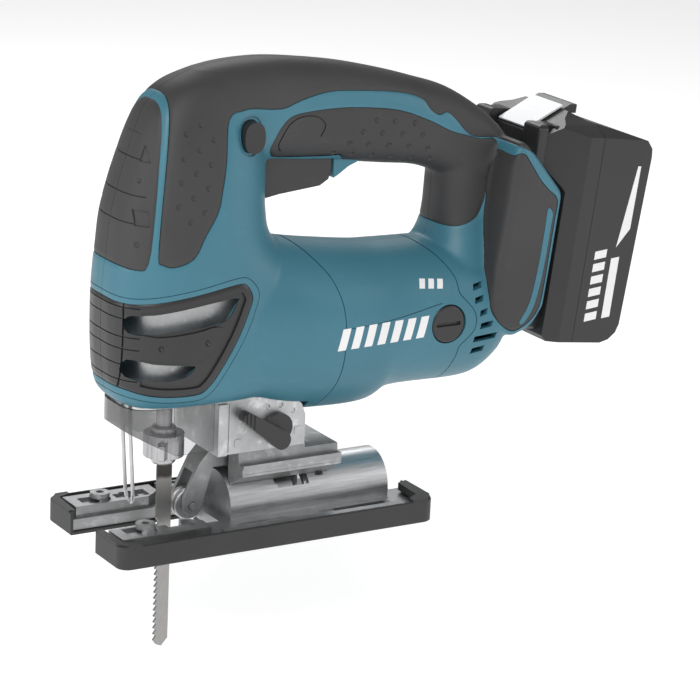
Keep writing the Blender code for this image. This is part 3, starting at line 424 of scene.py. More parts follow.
FRONT_PAD = [(-100, 152), (-84, 146), (-75, 144), (-70.5, 147), (-67.5, 169), (-64, 193), (-59.5, 217),
             (-58, 229), (-58, 250), (-100, 250)]
SIDE_GRIP = [(-64, 147), (-58, 145.5), (-48, 149), (-42, 159), (-35, 170), (-32.5, 180), (-30, 193),
             (-28, 210), (-24.5, 216), (-19, 217), (-13, 217.5), (4, 216), (15, 219), (31, 222), (48, 221.5),
             (72, 219), (86, 215), (91, 209), (96, 206), (101, 207), (106, 203), (112, 196.5), (118, 193.5),
             (130, 192.5), (150, 190), (150, 250), (-54, 250), (-54.5, 229), (-56.5, 217), (-61, 193),
             (-64.5, 169), (-66, 150)]
INLAY = [(0, 197), (3, 205), (8, 210.5), (15, 212.5), (32, 213.5), (49, 213), (72, 210), (90, 203.5),
         (103, 197.2), (113, 194.2), (121, 192), (129.5, 190.8), (126.1, 176), (125.1, 164.2), (121.8, 154),
         (116, 149.5), (107, 147.3), (98, 149.5), (94, 156), (94, 170), (46, 172), (44, 187), (33, 188.5),
         (7, 190), (1.5, 192.5)]
MOUNT_PAD = [(129, 186), (126.5, 176), (125.5, 164), (122.5, 143), (119.8, 125), (119.8, 112), (122, 104),
             (127, 98.2), (134, 94.8), (143, 98.8), (149.4, 107), (152.6, 128), (155.2, 150), (156.4, 161.5),
             (150.5, 167.5), (145, 173), (138.5, 182), (134, 187.5)]
MOUNT_STRIP = [(150.4, 158), (153.4, 155.4), (152.8, 149), (149.9, 127), (145.6, 108), (139.6, 98.8),
               (136.9, 99.6), (142.6, 109.5), (146.8, 130), (149.2, 148.5)]
VENT_COVER = [(-100, 133), (-86, 128.5), (-77, 127), (-46, 130.5), (-25, 133.8), (-19, 133), (-15.5, 127),
              (-17, 121), (-23, 107), (-33, 90), (-39, 82.5), (-45, 80), (-63, 80.5), (-77, 83.5), (-100, 92)]
WINDOW_HIGH = [(-78, 121), (-67, 122), (-27, 127), (-23.5, 125.5), (-30, 116), (-45, 114), (-64, 112.5),
               (-78, 113)]
WINDOW_LOW = [(-78, 99.5), (-67, 97.5), (-48, 95.5), (-46, 94), (-50.5, 90), (-61, 88.5), (-78, 90.5)]
LEAN = math.radians(6.8)
MOUNT_X, MOUNT_Z = 161.0, 87.0


def lean(up, out):
    """A point in the battery's leaning frame: up its face, then out from it."""
    return (MOUNT_X + up * math.sin(LEAN) + out * math.cos(LEAN),
            MOUNT_Z + up * math.cos(LEAN) - out * math.sin(LEAN))


def lean_box(name, up, out, y):
    """A box in the battery's leaning frame."""
    outline = [lean(up[0], out[0]), lean(up[0], out[1]), lean(up[1], out[1]), lean(up[1], out[0])]
    return prism(name, outline, y[0], y[1])


def line_cutter(name, path, width, depth_skin):
    """A narrow groove along a path on the side of the body, as deep as the given skin."""
    path = rounded(path, 5, closed=False)
    left, right = [], []
    for k, (x, z) in enumerate(path):
        ax, az = path[max(k - 1, 0)]
        bx, bz = path[min(k + 1, len(path) - 1)]
        size = math.hypot(bx - ax, bz - az)
        nx, nz = (az - bz) / size * width / 2, (bx - ax) / size * width / 2
        left.append((x + nx, z + nz))
        right.append((x - nx, z - nz))
    groove = cut(prism(name, left + right[::-1], -80, 80), depth_skin)
    groove.name = name
    return groove


shallow = body("shallow", 0.75, 1.8, 5)
SEAMS = (
    ("seam_front", [(10, 153), (19, 145), (25, 138), (30, 131), (34, 120), (35.5, 108), (35.5, 92), (34, 78),
                    (30, 66), (26, 56)], 0.5),
    ("seam_rear", [(82, 147), (89, 141), (96.4, 133.5), (101.6, 124.7), (102.8, 117.3), (106.1, 113.3),
                   (110.7, 108.1), (112.6, 102.7), (111.4, 97.1), (107.5, 92.8), (103.9, 89.1), (103.2, 83.9),
                   (102, 77), (100.5, 62)], 0.5),
    ("panel_edge", [(36, 106), (60, 107.5), (88, 112.5), (92, 113)], 0.4),
    ("cover_lip", [(-86, 131.5), (-77, 130), (-46, 133.5), (-25, 137), (-17.5, 136), (-12, 129), (-14, 120),
                   (-20, 106), (-31, 88), (-37, 80), (-44, 77), (-63, 77.5), (-80, 80.5)], 0.35),
)
seam_cutters = [line_cutter(name, path, width, shallow) for name, path, width in SEAMS]

teal = moulded("teal_nylon", (0.044, 0.165, 0.222), 0.42, 2100.0, 0.00004, 0.05, Specular_IOR_Level=0.45)
soft = moulded("soft_rubber", (0.042, 0.041, 0.042), 0.55, 3300.0, 0.00004, 0.1, Specular_IOR_Level=0.4)
black = moulded("black_nylon", (0.021, 0.021, 0.022), 0.36, 2500.0, 0.00003, 0.08)


def rounding(item, outlines, reach, drop_by, flat=0.0):
    """Turns down a moulding's outside edges along its outlines, as a draughted tool leaves them."""
    segments = []
    for outline in outlines:
        segments += list(zip(outline, outline[1:] + outline[:1]))
    for vertex in item.data.vertices:
        _, normal, _, gap = outer_tree.find_nearest(vertex.co)
        if gap > 0.00006:
            continue
        x, z = vertex.co.x / MM, vertex.co.z / MM
        best = reach
        for (ax, az), (bx, bz) in segments:
            if not (min(ax, bx) - reach <= x <= max(ax, bx) + reach):
                continue
            if not (min(az, bz) - reach <= z <= max(az, bz) + reach):
                continue
            dx, dz = bx - ax, bz - az
            t = max(0.0, min(1.0, ((x - ax) * dx + (z - az) * dz) / (dx * dx + dz * dz or 1)))
            best = min(best, math.hypot(x - ax - dx * t, z - az - dz * t))
        sink = flat + drop_by * (1 - best / reach) ** 2
        if sink > 0:
            vertex.co -= normal * sink * MM


def finished(item, name, material, rides, stands_for):
    """Names a piece, smooths its shading, dresses it and hands it to the frame."""
    mesh = item.data
    piece = bpy.data.objects.new(name, mesh)
    mesh.materials.clear()
    mesh.materials.append(material)
    for face in mesh.polygons:
        face.use_smooth = True
        face.material_index = 0
    mesh.set_sharp_from_angle(angle=math.radians(32))
    bpy.data.objects.remove(item, do_unlink=True)
    bpy.context.scene.collection.objects.link(piece)
    step = piece.modifiers.new("weighted", "WEIGHTED_NORMAL")
    step.keep_sharp = True
    step.weight = 60
    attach(piece, rides)
    if stands_for:
        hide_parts(*stands_for)
    return piece


outer_tree = BVHTree.FromObject(outer, bpy.context.evaluated_depsgraph_get())


def dimple_cutter(name, places, radius, side):
    """Round punch marks: spheres set on the skin under the given points by Geometry Nodes."""
    seats = []
    for x, z in places:
        hit = outer_tree.ray_cast(Vector((x * MM, 0.09 * side, z * MM)), Vector((0, -side, 0)))
        if hit[0] is not None:
            seats.append(hit[0] + hit[1] * radius * MM * 0.45)
    mesh = bpy.data.meshes.new(name)
    mesh.from_pydata([tuple(seat) for seat in seats], [], [])
    item = bpy.data.objects.new(name, mesh)
    bench.objects.link(item)
    tree = bpy.data.node_groups.new(name, "GeometryNodeTree")
    tree.interface.new_socket("Geometry", in_out="INPUT", socket_type="NodeSocketGeometry")
    size = tree.interface.new_socket("Radius", in_out="INPUT", socket_type="NodeSocketFloat")
    tree.interface.new_socket("Geometry", in_out="OUTPUT", socket_type="NodeSocketGeometry")
    start, end = tree.nodes.new("NodeGroupInput"), tree.nodes.new("NodeGroupOutput")
    ball = tree.nodes.new("GeometryNodeMeshIcoSphere")
    ball.inputs["Subdivisions"].default_value = 3
    spread = tree.nodes.new("GeometryNodeInstanceOnPoints")
    real = tree.nodes.new("GeometryNodeRealizeInstances")
    dress = tree.nodes.new("GeometryNodeSetMaterial")
    dress.inputs["Material"].default_value = soft
    tree.links.new(start.outputs["Radius"], ball.inputs["Radius"])
    tree.links.new(start.outputs["Geometry"], spread.inputs["Points"])
    tree.links.new(ball.outputs["Mesh"], spread.inputs["Instance"])
    tree.links.new(spread.outputs["Instances"], real.inputs["Geometry"])
    tree.links.new(real.outputs["Geometry"], dress.inputs["Geometry"])
    tree.links.new(dress.outputs["Geometry"], end.inputs["Geometry"])
    step = item.modifiers.new("punch", "NODES")
    step.node_group = tree
    step[size.identifier] = radius * MM
    return settled(item, name)


mount_behind = lean_box("mount_behind", (-20, 190), (-8, 60), (-60, 60))
mount_pocket = lean_box("mount_pocket", (3, 190), (-26 - 1.0, 60), (-30.3, 30.3))
cavity_back = lean_box("cavity_back", (-90, 190), (-30, 80), (-60, 60))
trigger_hole = block("trigger_hole", (-4.2, 40.2), (-9.4, 9.4), (160, 199))
button_oval = [(x, z + 204.5) for x, z in squared(-20.7, -8.8, 8.0, 2.4, 32)]
button_hole = prism("button_hole", button_oval, -40, 40)
button_dish = prism("button_dish", grown(button_oval, 1.6), -40, 40)
button_dish = cut(button_dish, shallow)
block_hole = block("block_hole", (-29, 23), (-23, 23), (30, 78))
nose_hole = prism("nose_hole", squared(-73.5, 8, 23.5, 4, 48), 60, 78, "z")
hollow = cut(inside, cavity_back)
drop(cavity_back)
GAP = 0.22
JOINT = 0.24
vents = []
slant = 1.1
for x0, x1, z in ((111, 116.2, 119), (111.4, 116.4, 112.4), (114.4, 118.4, 105.6), (115, 121.6, 98.8),
                  (111.8, 125.4, 92), (111.6, 119, 85.4)):
    vents.append([(x0, z - 1.7), (x1, z - 1.7 + slant), (x1 + 0.6, z + 1.5 + slant), (x0 + 0.5, z + 1.5)])

DIMPLES = {
    "side_grip": [(-42.3, 212.3), (-50.2, 208.5), (-36.1, 205), (-44.1, 200.8), (-52.5, 197.1),
                  (-38.4, 193.5), (-46.4, 189.8), (-54.3, 186.1), (-40.2, 182.5), (-48.2, 178.3),
                  (-56.1, 174.6), (-42.5, 170.9), (-49.9, 166.7)],
    "handle_inlay": [(59.2, 206), (69.8, 204.7), (81.6, 202.8), (52, 200.5), (63.1, 199.1), (74.8, 197.7),
                     (86.7, 196.3), (44.9, 195), (55.9, 193.6), (67.6, 192.2), (79.3, 190.8), (90.7, 188.8),
                     (37.1, 190.1), (48.1, 188.7), (59.7, 187.2), (70.8, 185.8), (82.7, 184.4), (93.4, 183)],
    "front_pad": [(-66.8, 214.6), (-71.3, 186.1), (-74.8, 156.3)],
}
front_lines = []
for z in (207, 195.5, 179, 166):
    line = block(f"front_line_{z}", (-120, -71.5 + (z - 166) * 0.12), (-60, 60), (z - 0.3, z + 0.3))
    front_lines.append(cut(line, shallow))
for side in (-1, 1):
    for z in (194.6, 165.1):
        lean_back = (z - 165) * 0.1
        panel = block(f"front_step_{z}", (lean_back - 75, lean_back - 69.5), span(side, 12, 60), (z, z + 7.5))
        front_lines.append(cut(panel, shallow))
thumb_path = [(6, 194), (3.8, 198), (8, 207), (15, 210.8), (24, 210.5), (29.5, 206), (27.5, 200)]
thumb = line_cutter("thumb_line", thumb_path, 0.7, shallow)
pad_grooves = {"front_pad": front_lines, "handle_inlay": [thumb]}
pads = (("front_pad", FRONT_PAD), ("side_grip", SIDE_GRIP), ("handle_inlay", INLAY), ("mount_pad", MOUNT_PAD),
        ("vent_cover", VENT_COVER))
smooth_pads = {label: rounded(outline, 3) for label, outline in pads}
pockets = []
strip = prism("mount_strip", rounded(MOUNT_STRIP, 3), -90, 90)
strip_slot = prism("mount_strip_slot", grown(rounded(MOUNT_STRIP, 3), GAP), -90, 90)
for label, outline in smooth_pads.items():
    pocket = prism(f"pocket_{label}", grown(outline, GAP), -80, 80)
    pockets.append(cut(pocket, under, strip) if label == "mount_pad" else cut(pocket, under))

for name, side in (("left", -1), ("right", 1)):
    halfspace = block(f"half_{name}", (-200, 300), span(side, JOINT / 2, 80), (-50, 300))
    shell = bpy.data.objects.new(f"shell_{name}", outer.data.copy())
    shell = cut(shell, halfspace, operation="INTERSECT")
    tools = [*pockets, hollow, mount_behind, mount_pocket, trigger_hole, button_hole, button_dish, block_hole,
             nose_hole, *seam_cutters]
    spare = []
    for label, window in (("high", WINDOW_HIGH), ("low", WINDOW_LOW)):
        spare.append(prism(f"open_{label}_{name}", grown(window, 1), 80 * side - 80, 80 * side + 80))
    for k, vent in enumerate(vents):
        spare.append(prism(f"vent_{k}_{name}", vent, 80 * side - 60, 80 * side + 60))
    spare.append(prism(f"cap_sink_{name}", squared(85.8, 106.2, 10.2, 2, 48), *span(side, 30.5, 70)))
    spare[-1].data.transform(Matrix.Translation((0, 0, 0.102)))
    spare.append(prism(f"cap_bore_{name}", squared(89, 103, 7, 2, 32), *span(side, 20, 70)))
    spare[-1].data.transform(Matrix.Translation((0, 0, 0.102)))
    shell = cut(shell, *tools, *spare)
    drop(*spare)
    rounding(shell, [grown(outline, GAP) for outline in smooth_pads.values()], 1.3, 0.32)
    finished(shell, f"shell_{name}", teal, "tool", [f"housing_{name}"])
    for label, outline in smooth_pads.items():
        if label == "vent_cover":
            continue
        pad = prism(f"{label}_{name}", outline, -80, 80)
        pad = cut(pad, outer, operation="INTERSECT")
        pad = cut(pad, halfspace, operation="INTERSECT")
        punches = []
        if label in DIMPLES:
            punches.append(dimple_cutter(f"punch_{label}_{name}", DIMPLES[label], 1.75, side))
        grooves = [strip_slot] if label == "mount_pad" else pad_grooves.get(label, [])
        pad = cut(pad, under, mount_behind, mount_pocket, button_hole, trigger_hole, *grooves, *punches)
        drop(*punches)
        rounding(pad, [outline], 1.6, 0.55, 0.12)
        finished(pad, f"rubber_{label}_{name}", soft, "tool", [f"{label}_{name}"])
    drop(halfspace)

# Vent cover: a black nylon grille let into the front of each half, with a flat rim, a sunken field,
# a middle bar, two long windows on to the gear case and fine ribs across its front.
cover_outline = smooth_pads["vent_cover"]
field_outline = grown(cover_outline, -4.0)
BAR = [(-80, 113.5), (-66, 111), (-46, 112.3), (-35, 114), (-30.5, 110), (-37, 101.5), (-47, 97.8),
       (-66, 99.4), (-80, 102.5)]
field_skin = body("field_skin", 1.1, 1.8, 5)
for name, side in (("left", -1), ("right", 1)):
    halfspace = block(f"half_{name}", (-200, 300), span(side, JOINT / 2, 80), (-50, 300))
    grille = cut(prism(f"grille_{name}", cover_outline, -80, 80), outer, operation="INTERSECT")
    grille = cut(grille, halfspace, operation="INTERSECT")
    field = prism(f"field_{name}", field_outline, -80, 80)
    bar = prism(f"bar_{name}", rounded(BAR, 3), -90, 90)
    nose_wall = block(f"nose_wall_{name}", (-120, -72.5), (-90, 90), (60, 150))
    field = cut(field, bar, nose_wall, field_skin)
    ribs = []
    for k, z in enumerate((125.2, 119.5, 110.5, 104.5, 96.5, 88.5)):
        ribs.append(cut(block(f"rib_line_{k}", (-120, -73.5), (-60, 60), (z - 0.28, z + 0.28)), shallow))
    corner = cut(block("corner_line", (-79.5, -78.9), (-60, 60), (60, 140)), shallow)
    openings = []
    for label, window in (("high", WINDOW_HIGH), ("low", WINDOW_LOW)):
        openings.append(prism(f"gap_{label}", rounded(window, 3), 80 * side - 80, 80 * side + 80))
    dots = dimple_cutter(f"dots_{name}", [(-64, 105.5), (-40, 106.5)], 1.7, side)
    grille = cut(grille, under, field, *ribs, corner, *openings, dots)
    drop(field, bar, nose_wall, *ribs, corner, *openings, dots, halfspace)
    rounding(grille, [cover_outline], 1.5, 0.5)
    finished(grille, f"grille_{name}", black, "tool", [f"vent_cover_{name}"])

# Motor brush caps, trigger and lock-off button: two slotted black nylon caps screwed in over the brushes,
# a soft-faced trigger with the teal stop behind it, and a button pressed in right through the handle.
def fine(node, width, steps=2, cutters=(), unions=()):
    """A copy of a node's mesh with its edges broken, ready for more cuts."""
    mesh = cad[node].data.copy()
    sheet = bmesh.new()
    sheet.from_mesh(mesh)
    bmesh.ops.remove_doubles(sheet, verts=sheet.verts, dist=0.000004)
    bmesh.ops.dissolve_limit(sheet, angle_limit=math.radians(1), verts=sheet.verts, edges=sheet.edges)
    sheet.to_mesh(mesh)
    sheet.free()
    item = bpy.data.objects.new(f"{node}_fine", mesh)
    bench.objects.link(item)
    if unions:
        item = cut(item, *unions, operation="UNION")
        drop(*unions)
    if cutters:
        item = cut(item, *cutters)
        drop(*cutters)
    if width:
        edge = item.modifiers.new("edge", "BEVEL")
        edge.width = width * MM
        edge.segments = steps
        edge.angle_limit = math.radians(35)
        item = settled(item)
    return item


for name in ("left", "right"):
    cap = fine(f"brush_cap_{name}", 0.35)
    finished(cap, f"cap_{name}", black, "tool", [f"brush_cap_{name}"])
finished(fine("trigger", 1.1, 3), "finger_lever", soft, "pull", ["trigger"])
stop_outline = [(40.4, 186), (40.7, 176.4), (43, 177.6), (49, 181.6), (56, 184.4), (56, 187)]
stop = prism("stop", stop_outline, -8.2, 8.2, "y", 0.8)
finished(stop, "finger_stop", teal, "tool", None)
button_outline = [(x, z + 204.5) for x, z in squared(-20.3, -9.2, 7.6, 2.4, 36)]
button = prism("button", button_outline, -26.5, 26.5, "y", 0.9, 3)
finished(button, "safety_button", black, "lock", ["lock_button"])

# Battery: a black nylon case in two parts with a thin seam between them, sloping shoulders, a hood over
# its rails and a slot for the press catch. Plain bars are printed on its sides and on the housing.
LEANING = Matrix.Translation((MOUNT_X * MM, 0, MOUNT_Z * MM)) @ Matrix.Rotation(LEAN, 4, "Y")


def leaned(item):
    item.data.transform(LEANING)
    return item


case_side = [(-7.5, 1.5), (-5.2, -1.2), (28, -1.2), (33, 0.6), (37, 4.4), (38.6, 9), (41.6, 98), (41, 102.5),
             (37.5, 106.5), (22, 110), (6, 113), (-2.5, 116.4), (-23, 103.4), (-26, 95.2), (-19.5, 88.6),
             (-9.3, 79.4), (-7.5, 77)]
shoulder = [(17, 118), (24, 113.4), (30, 111.4), (38.4, 106.4), (60, 106.4), (60, 140), (17, 140)]
taper = [(-40, 20), (-7.6, 34.8), (2.5, 38.4), (2.5, 60), (-40, 60)]
sides = []
for side in (-1, 1):
    sides.append(prism(f"shoulder_{side}", [(y * side, up) for y, up in shoulder], -60, 80, "x"))
    sides.append(prism(f"taper_{side}", [(out, y * side) for out, y in taper], -40, 140, "z"))
slot_outline = [(-60, 81.8), (-2.6, 81.8), (-2.6, 110), (2.6, 114), (2.6, 200), (-60, 200)]
slot = prism("slot_top", slot_outline, -15.6, 15.6)
case = cut(prism("case", case_side, -38, 38), *sides)
edge = case.modifiers.new("edge", "BEVEL")
edge.width = 1.9 * MM
edge.segments = 4
edge.angle_limit = math.radians(17)
case = cut(settled(case), slot)
drop(*sides, slot)
for name, low, high, stands_for in (("case_rear", 10.12, 90, ["battery_rear"]), ("case_front", -90, 9.88, None)):
    band = block("band", (low, high), (-80, 80), (-60, 200))
    part = bpy.data.objects.new(name, case.data.copy())
    part = leaned(cut(part, band, operation="INTERSECT"))
    finished(part, name, black, "battery", stands_for)
    drop(band)
drop(case)
rails = fine("battery_front", 0.6, 2, [lean_box("all_above", (-10, 200), (-3.2, 60), (-60, 60))])
finished(rails, "case_rails", black, "battery", ["battery_front"])
finished(fine("battery_latch", 0.5, 2), "catch_button", black, "catch", ["battery_latch"])

ink = moulded("white_ink", (0.78, 0.78, 0.78), 0.5, 1800.0, 0.00002, 0.04)
for side in (-1, 1):
    label = "right" if side > 0 else "left"
    marks = []
    ink_depth = span(side, 37, 38.12)
    for k in range(6):
        low = 10 + 6.6 * k
        stroke = [(15.5, low), (22.8, low + 1.6), (22.8, low + 5.9), (15.5, low + 4.3)]
        marks.append(prism(f"mark_{k}", stroke, *ink_depth))
    marks.append(prism("mark_line", [(26.3, 12), (31.3, 13), (31.3, 45), (26.3, 44)], *ink_depth))
    marks.append(prism("mark_tall", [(28.2, 50), (35.2, 60), (35.6, 93), (33.8, 93)], *ink_depth))
    marks = cut(marks[0], *marks[1:], operation="UNION")
    finished(leaned(marks), f"case_marks_{label}", ink, "battery", None)
    bars = []
    for k in range(7):
        x = 31 + 7.6 * k
        low = 95.2 + 0.25 * k
        bar = [(x, low), (x + 4.6, low + 0.15), (x + 7.4, low + 11.2), (x + 2.8, low + 11)]
        bars.append(prism(f"bar_{k}", bar, -80, 80))
    for k in range(3):
        x = 79.5 + 5.2 * k
        low = 121.5 - 0.5 * k
        tick = [(x, low), (x + 3.2, low - 0.3), (x + 4.4, low + 4.1), (x + 1.2, low + 4.5)]
        bars.append(prism(f"tick_{k}", tick, -80, 80))
    bars = cut(bars[0], *bars[1:], operation="UNION")
    proud = bpy.data.objects.new("proud", outer.data.copy())
    bench.objects.link(proud)
    push = proud.modifiers.new("push", "DISPLACE")
    push.strength = 0.00006
    push.mid_level = 0.0
    proud = settled(proud)
    half = block("half", (-200, 300), span(side, 5, 80), (-50, 300))
    bars = cut(bars, proud, operation="INTERSECT")
    bars = cut(bars, half, operation="INTERSECT")
    bars = cut(bars, shallow)
    drop(proud, half)
    finished(bars, f"printed_bars_{label}", ink, "tool", None)

# Sole and base: a die-cast aluminium plate with ribs, recessed tracks and a machined half-round tunnel,
# sitting in a glass-filled plastic shoe with raised ends at its horns and rear corners.
def cast(name, colour, rough=0.42, sand=1500.0, depth=0.00006):
    """Die-cast aluminium: a sandy skin, dull patches and bright rubbed spots."""
    made = Finish(name, colour, rough, 0.9)
    patch = made.noise(60.0, 4.0, 0.6)
    grain = made.noise(sand, 3.0, 0.7)
    pits = made.cells(420.0)
    rubbed = made.noise(140.0, 5.0, 0.65, made.stretched((1.0, 1.8, 1.0))).over(0.55, 0.12)
    shade = made.mixed(patch.over(0.3, 0.4), tinted(colour, 0.78), tinted(colour, 1.15))
    made.set("Base Color", made.mixed(rubbed * 0.5, shade, tinted(colour, 1.5)))
    made.set("Roughness", rough + (patch - 0.5) * 0.25 - rubbed * 0.12)
    return made.bump(grain * 0.7 + pits * 0.3, 0.55, depth)


def machined(name, colour, rough, along, metal=1.0, depth=0.00001):
    """Turned, ground or drawn steel: fine lines one way and a few darker marks."""
    made = Finish(name, colour, rough, metal)
    stretch = [260.0, 260.0, 260.0]
    stretch[along] = 6.0
    lines = made.noise(9.0, 4.0, 0.7, made.stretched(tuple(stretch)))
    mark = made.noise(70.0, 4.0, 0.6)
    shade = made.mixed(lines.over(0.35, 0.3), tinted(colour, 0.82), tinted(colour, 1.12))
    made.set("Base Color", made.mixed(mark.over(0.62, 0.1) * 0.4, shade, tinted(colour, 0.55)))
    made.set("Roughness", rough + (lines - 0.5) * 0.2 + mark * 0.05)
    return made.bump(lines, 0.4, depth)


cast_grey = cast("cast_aluminium", (0.36, 0.365, 0.37))
bright = machined("drawn_tunnel", (0.72, 0.73, 0.74), 0.3, 0, 0.95)
steel = machined("ground_steel", (0.55, 0.55, 0.56), 0.3, 2)
dark_steel = machined("black_oxide", (0.09, 0.09, 0.095), 0.42, 2, 0.85)
shoe = moulded("sole_nylon", (0.024, 0.024, 0.025), 0.5, 1900.0, 0.00006, 0.12)
HORN_END = [(-89.3, 16), (-89.3, 36), (-84.5, 41.9), (-78, 41.9), (-78, 38.6), (-85, 36), (-86.2, 15.4)]
REAR_END = [(89.3, 13), (89.3, 36), (84.5, 41.9), (76, 41.9), (76, 37.9), (82.5, 34), (83.5, 15)]
ends = []
for side in (-1, 1):
    ends.append(prism(f"horn_end_{side}", [(x, y * side) for x, y in HORN_END], 3, 12.6, "z"))
    ends.append(prism(f"rear_end_{side}", [(x, y * side) for x, y in REAR_END], 9, 12.9, "z"))
    ends.append(block(f"rear_post_{side}", (88, 89.3), span(side, 13, 37), (3, 12)))
finished(fine("sole_cover", 0.9, 3, (), ends), "shoe", shoe, "base", ["sole_cover"])

hollows = []
for side in (-1, 1):
    for x0, x1, y in ((-17, 14, 24.5), (30, 72, 24.5)):
        hollows.append(prism(f"track_{side}_{x0}", squared(x0, x1, 1.6, 5, 24), 7.0, 9, "z"))
        hollows[-1].data.transform(Matrix.Translation((0, y * side * MM, 0)))
    hollows.append(block(f"track_long_{side}", (-28, 80), span(side, 29.4, 30.6), (6.9, 9)))
    for x0, x1 in ((-79, -64), (-56, -42)):
        hollows.append(block(f"pocket_{side}_{x0}", (x0, x1), span(side, 20, 29), (11.2, 14)))
    hole = prism(f"tunnel_hole_{side}", squared(-2.6, 2.6, 2.6, 2, 24), 10, 22, "z")
    round_the_tunnel = Matrix.Rotation(math.radians(-48 * side), 4, "X")
    hole.data.transform(Matrix.Translation((0.013, 0, 0.012)) @ round_the_tunnel)
    hollows.append(hole)
    notch = block(f"tunnel_notch_{side}", (-2.2, 2.2), (-1.8, 1.8), (10, 22))
    round_the_tunnel = Matrix.Rotation(math.radians(-44 * side), 4, "X")
    notch.data.transform(Matrix.Translation((0.037, 0, 0.012)) @ round_the_tunnel)
    hollows.append(notch)
    hollows.append(block(f"rib_end_{side}", (74, 86), span(side, 31, 41), (7.5, 14)))
beads = []
for side in (-1, 1):
    beads.append(block(f"bead_{side}", (-30, 73), span(side, 38.1, 39.3), (7, 11.2)))
    beads.append(prism(f"boss_ring_{side}", squared(-73.6, -62.4, 5.6, 2, 32), 12.5, 14.0, "z"))
    beads[-1].data.transform(Matrix.Translation((0, 25 * side * MM, 0)))
plate = fine("base_plate", 0.45, 2, hollows, beads)
plate = finished(plate, "cast_plate", cast_grey, "base", ["base_plate"])
plate.data.materials.append(bright)
for face in plate.data.polygons:
    x, y, z = face.center / MM
    if z > 9.3 and math.hypot(y, z - 12) < 18.2 and -15.5 < x < 75.5:
        face.material_index = 1

# Tilting saddle, clamp and bolt: a cast saddle with machined lips that sits over the tunnel and is held
# down by a steel plate and a hex bolt through the tunnel's slot.
lips = []
for side in (-1, 1):
    lips.append(block(f"lip_{side}", (-13.6, 42.6), span(side, 22.2, 24.4), (35.6, 37.8)))
    lips.append(block(f"under_lip_{side}", (-13.6, 42.6), span(side, 21.6, 24.2), (31.8, 33.2)))
finished(fine("saddle", 0.5, 2, (), lips), "tilt_saddle", cast_grey, "tool", ["saddle"])
finished(fine("clamp_bolt", 0.3), "tilt_bolt", dark_steel, "tool", ["clamp_bolt"])
finished(fine("clamp_plate", 0.2), "tilt_clamp", steel, "carriage", ["clamp_plate"])

# Gear case: a magnesium casting whose lower block shows between the housing and the saddle, with punched
# setting dots, a front ridge and the orbital lever on its left side.
gear_cast = cast("gear_case_alloy", (0.5, 0.505, 0.51), 0.46)
dots = []
for side in (-1, 1):
    for k, (x, z) in enumerate(((0, 66.5), (7.5, 66.5), (14.5, 63))):
        ring = prism(f"dot_{side}_{k}", squared(-1.5, 1.5, 1.5, 2, 20), *span(side, 21.3, 26))
        ring.data.transform(Matrix.Translation((x * MM, 0, z * MM)))
        dots.append(ring)
    frame_line = prism(f"frame_line_{side}", [(-22, 45.5), (-21.4, 45.5), (-21.4, 71), (-22, 71)],
                       *span(side, 21.5, 26))
    dots.append(frame_line)
plates = []
for side in (-1, 1):
    for k, (x, z) in enumerate(((-16, 49.5), (18, 52))):
        pad_mark = prism(f"raised_{side}_{k}", squared(-2.2, 2.2, 2.2, 4, 20), *span(side, 21.5, 22.35))
        pad_mark.data.transform(Matrix.Translation((x * MM, 0, z * MM)))
        plates.append(pad_mark)
case_block = fine("gear_housing", 0.35, 2, dots, plates)
finished(case_block, "gear_case", gear_cast, "tool", ["gear_housing"])
grips = []
for k in range(3):
    grips.append(block(f"lever_grip_{k}", (-17 + 2.2 * k, -16.2 + 2.2 * k), (-31.6, -30.6), (55, 72)))
lever = fine("orbital_lever", 0.8, 3, grips)
finished(lever, "setting_lever", black, "orbit", ["orbital_lever"])

# Roller guide, blade clamp, blade and clear shield: a cast fork and a grooved steel roller behind the blade,
# a turned release sleeve round the clamp, a dark-shanked saw blade and a smoke-tinted cup over it all.
finished(fine("roller_arm", 0.7, 3), "fork", cast_grey, "arm", ["roller_arm"])
finished(fine("guide_roller", 0.25), "roller", steel, "roller", ["guide_roller"])
for node, ride in (("roller_pin", "arm"), ("arm_pin", "tool"), ("clamp_body", "striker")):
    finished(fine(node, 0.3), f"{node}_steel", steel, ride, [node])
sleeve_steel = machined("sleeve_steel", (0.46, 0.46, 0.47), 0.26, 2)
finished(fine("clamp_sleeve", 0.4), "release_sleeve", sleeve_steel, "sleeve", ["clamp_sleeve"])

saw_steel = Finish("saw_steel", (0.34, 0.33, 0.32), 0.34, 0.95)
height = saw_steel.add("ShaderNodeSeparateXYZ", {}, {"Vector": saw_steel.place}, "Z")
streak = saw_steel.noise(14.0, 4.0, 0.7, saw_steel.stretched((220.0, 220.0, 8.0)))
scale_mark = saw_steel.noise(240.0, 3.0)
tone = saw_steel.mixed(streak, (0.25, 0.245, 0.24), (0.46, 0.45, 0.44))
above_shank = (height + scale_mark * 0.003).over(0.0295, 0.002)
saw_steel.set("Base Color", saw_steel.mixed(above_shank, tone, (0.07, 0.065, 0.06)))
saw_steel.set("Roughness", 0.3 + streak * 0.15)
cad["blade"].material_slots[0].material = saw_steel.bump(streak, 0.3, 0.00001)

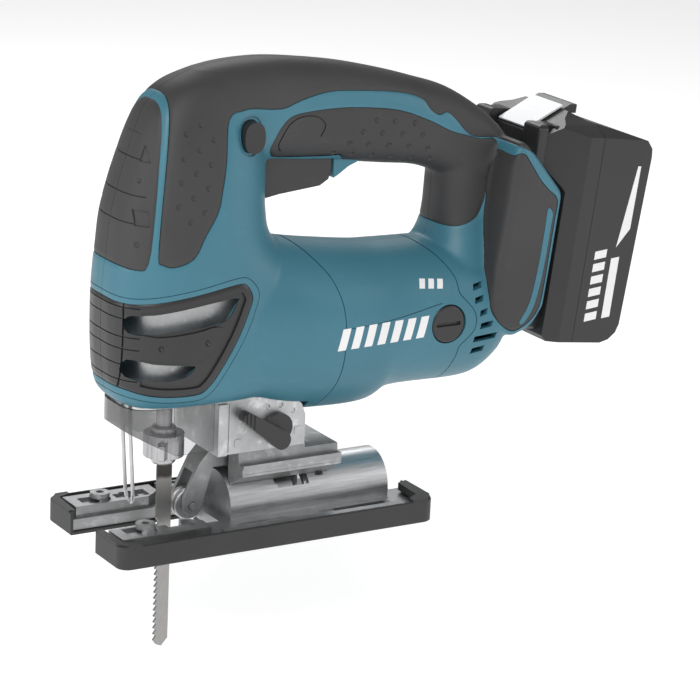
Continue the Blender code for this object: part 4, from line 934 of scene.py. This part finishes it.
clear = Finish("clear_shield", (0.06, 0.06, 0.062), 0.08, 0.0, Coat_Weight=0.6, Coat_Roughness=0.04)
haze = clear.noise(30.0, 3.0)
clear.set("Base Color", clear.mixed(haze, (0.035, 0.035, 0.037), (0.09, 0.092, 0.095)))
clear.set("Roughness", 0.06 + haze * 0.1)
rim_light = clear.add("ShaderNodeLayerWeight", {}, {"Blend": 0.35}, "Facing")
forward = clear.add("ShaderNodeSeparateXYZ", {}, {"Vector": clear.place}, "X")
smoke = (-0.052 - forward).over(0.0, 0.014)
clear.set("Alpha", 0.16 + smoke * 0.42 + rim_light * 0.5)
clear_finish = clear.bump(clear.noise(45.0, 2.0), 0.15, 0.0004)
shield = fine("dust_cover", 0.4, 2)
finished(shield, "clear_shield", clear_finish, "shield", ["dust_cover"])

# Inner works, seen through the windows and slots, and the screws: each keeps its shape from the frame
# and takes a finish for what it is made of.
bronze = machined("oiled_bronze", (0.5, 0.36, 0.16), 0.36, 2)
iron = machined("motor_laminations", (0.3, 0.3, 0.31), 0.45, 1, 0.8)
winding = Finish("enamelled_copper", (0.55, 0.2, 0.07), 0.35, 0.75)
turns = winding.add("ShaderNodeTexWave", {"wave_type": "BANDS", "bands_direction": "X"},
                    {"Vector": winding.place, "Scale": 900.0, "Distortion": 0.6, "Detail": 2.0}, "Fac")
winding.set("Base Color", winding.mixed(turns, (0.3, 0.1, 0.03), (0.66, 0.27, 0.1)))
winding.set("Roughness", 0.28 + turns * 0.2)
copper = winding.bump(turns, 0.6, 0.0001)
fan_white = moulded("fan_nylon", (0.6, 0.58, 0.5), 0.5, 1500.0)
slip = moulded("white_slip", (0.82, 0.84, 0.86), 0.3, 900.0, 0.00001, 0.03)
carbon = cast("brush_carbon", (0.05, 0.05, 0.052), 0.6, 2400.0)
wrap = moulded("cell_wrap", (0.1, 0.25, 0.15), 0.35, 700.0, 0.00002)
spare = [lean_box("spare_top", (104.5, 200), (-60, 90), (-60, 60)),
         lean_box("spare_back", (-60, 200), (35, 90), (-60, 60))]
finished(fine("cell_pack", 0.0, 1, spare), "cell_rows", wrap, "battery", ["cell_pack"])
by_slot = {"teal_shell": teal, "soft_pad": soft, "vent_plastic": black, "battery_plastic": black,
           "black_plastic": black, "cast_alloy": cast_grey, "ground_steel": steel, "blade_steel": None,
           "dark_metal": dark_steel, "motor_copper": copper, "motor_iron": iron, "bronze": bronze,
           "fan_plastic": fan_white, "clear_plastic": clear_finish, "label_white": slip, "carbon": carbon,
           "cell_wrap": wrap}
for row in frame["record"]["subparts"]:
    finish = by_slot[row["material_slot"]]
    if finish:
        for holder in cad[row["node"]].material_slots:
            holder.material = finish

# Clearing the bench: the cutters and patterns were only tools and go, then the view layer is brought up to date.
for item in list(bench.objects):
    bpy.data.objects.remove(item, do_unlink=True)
bpy.context.view_layer.update()
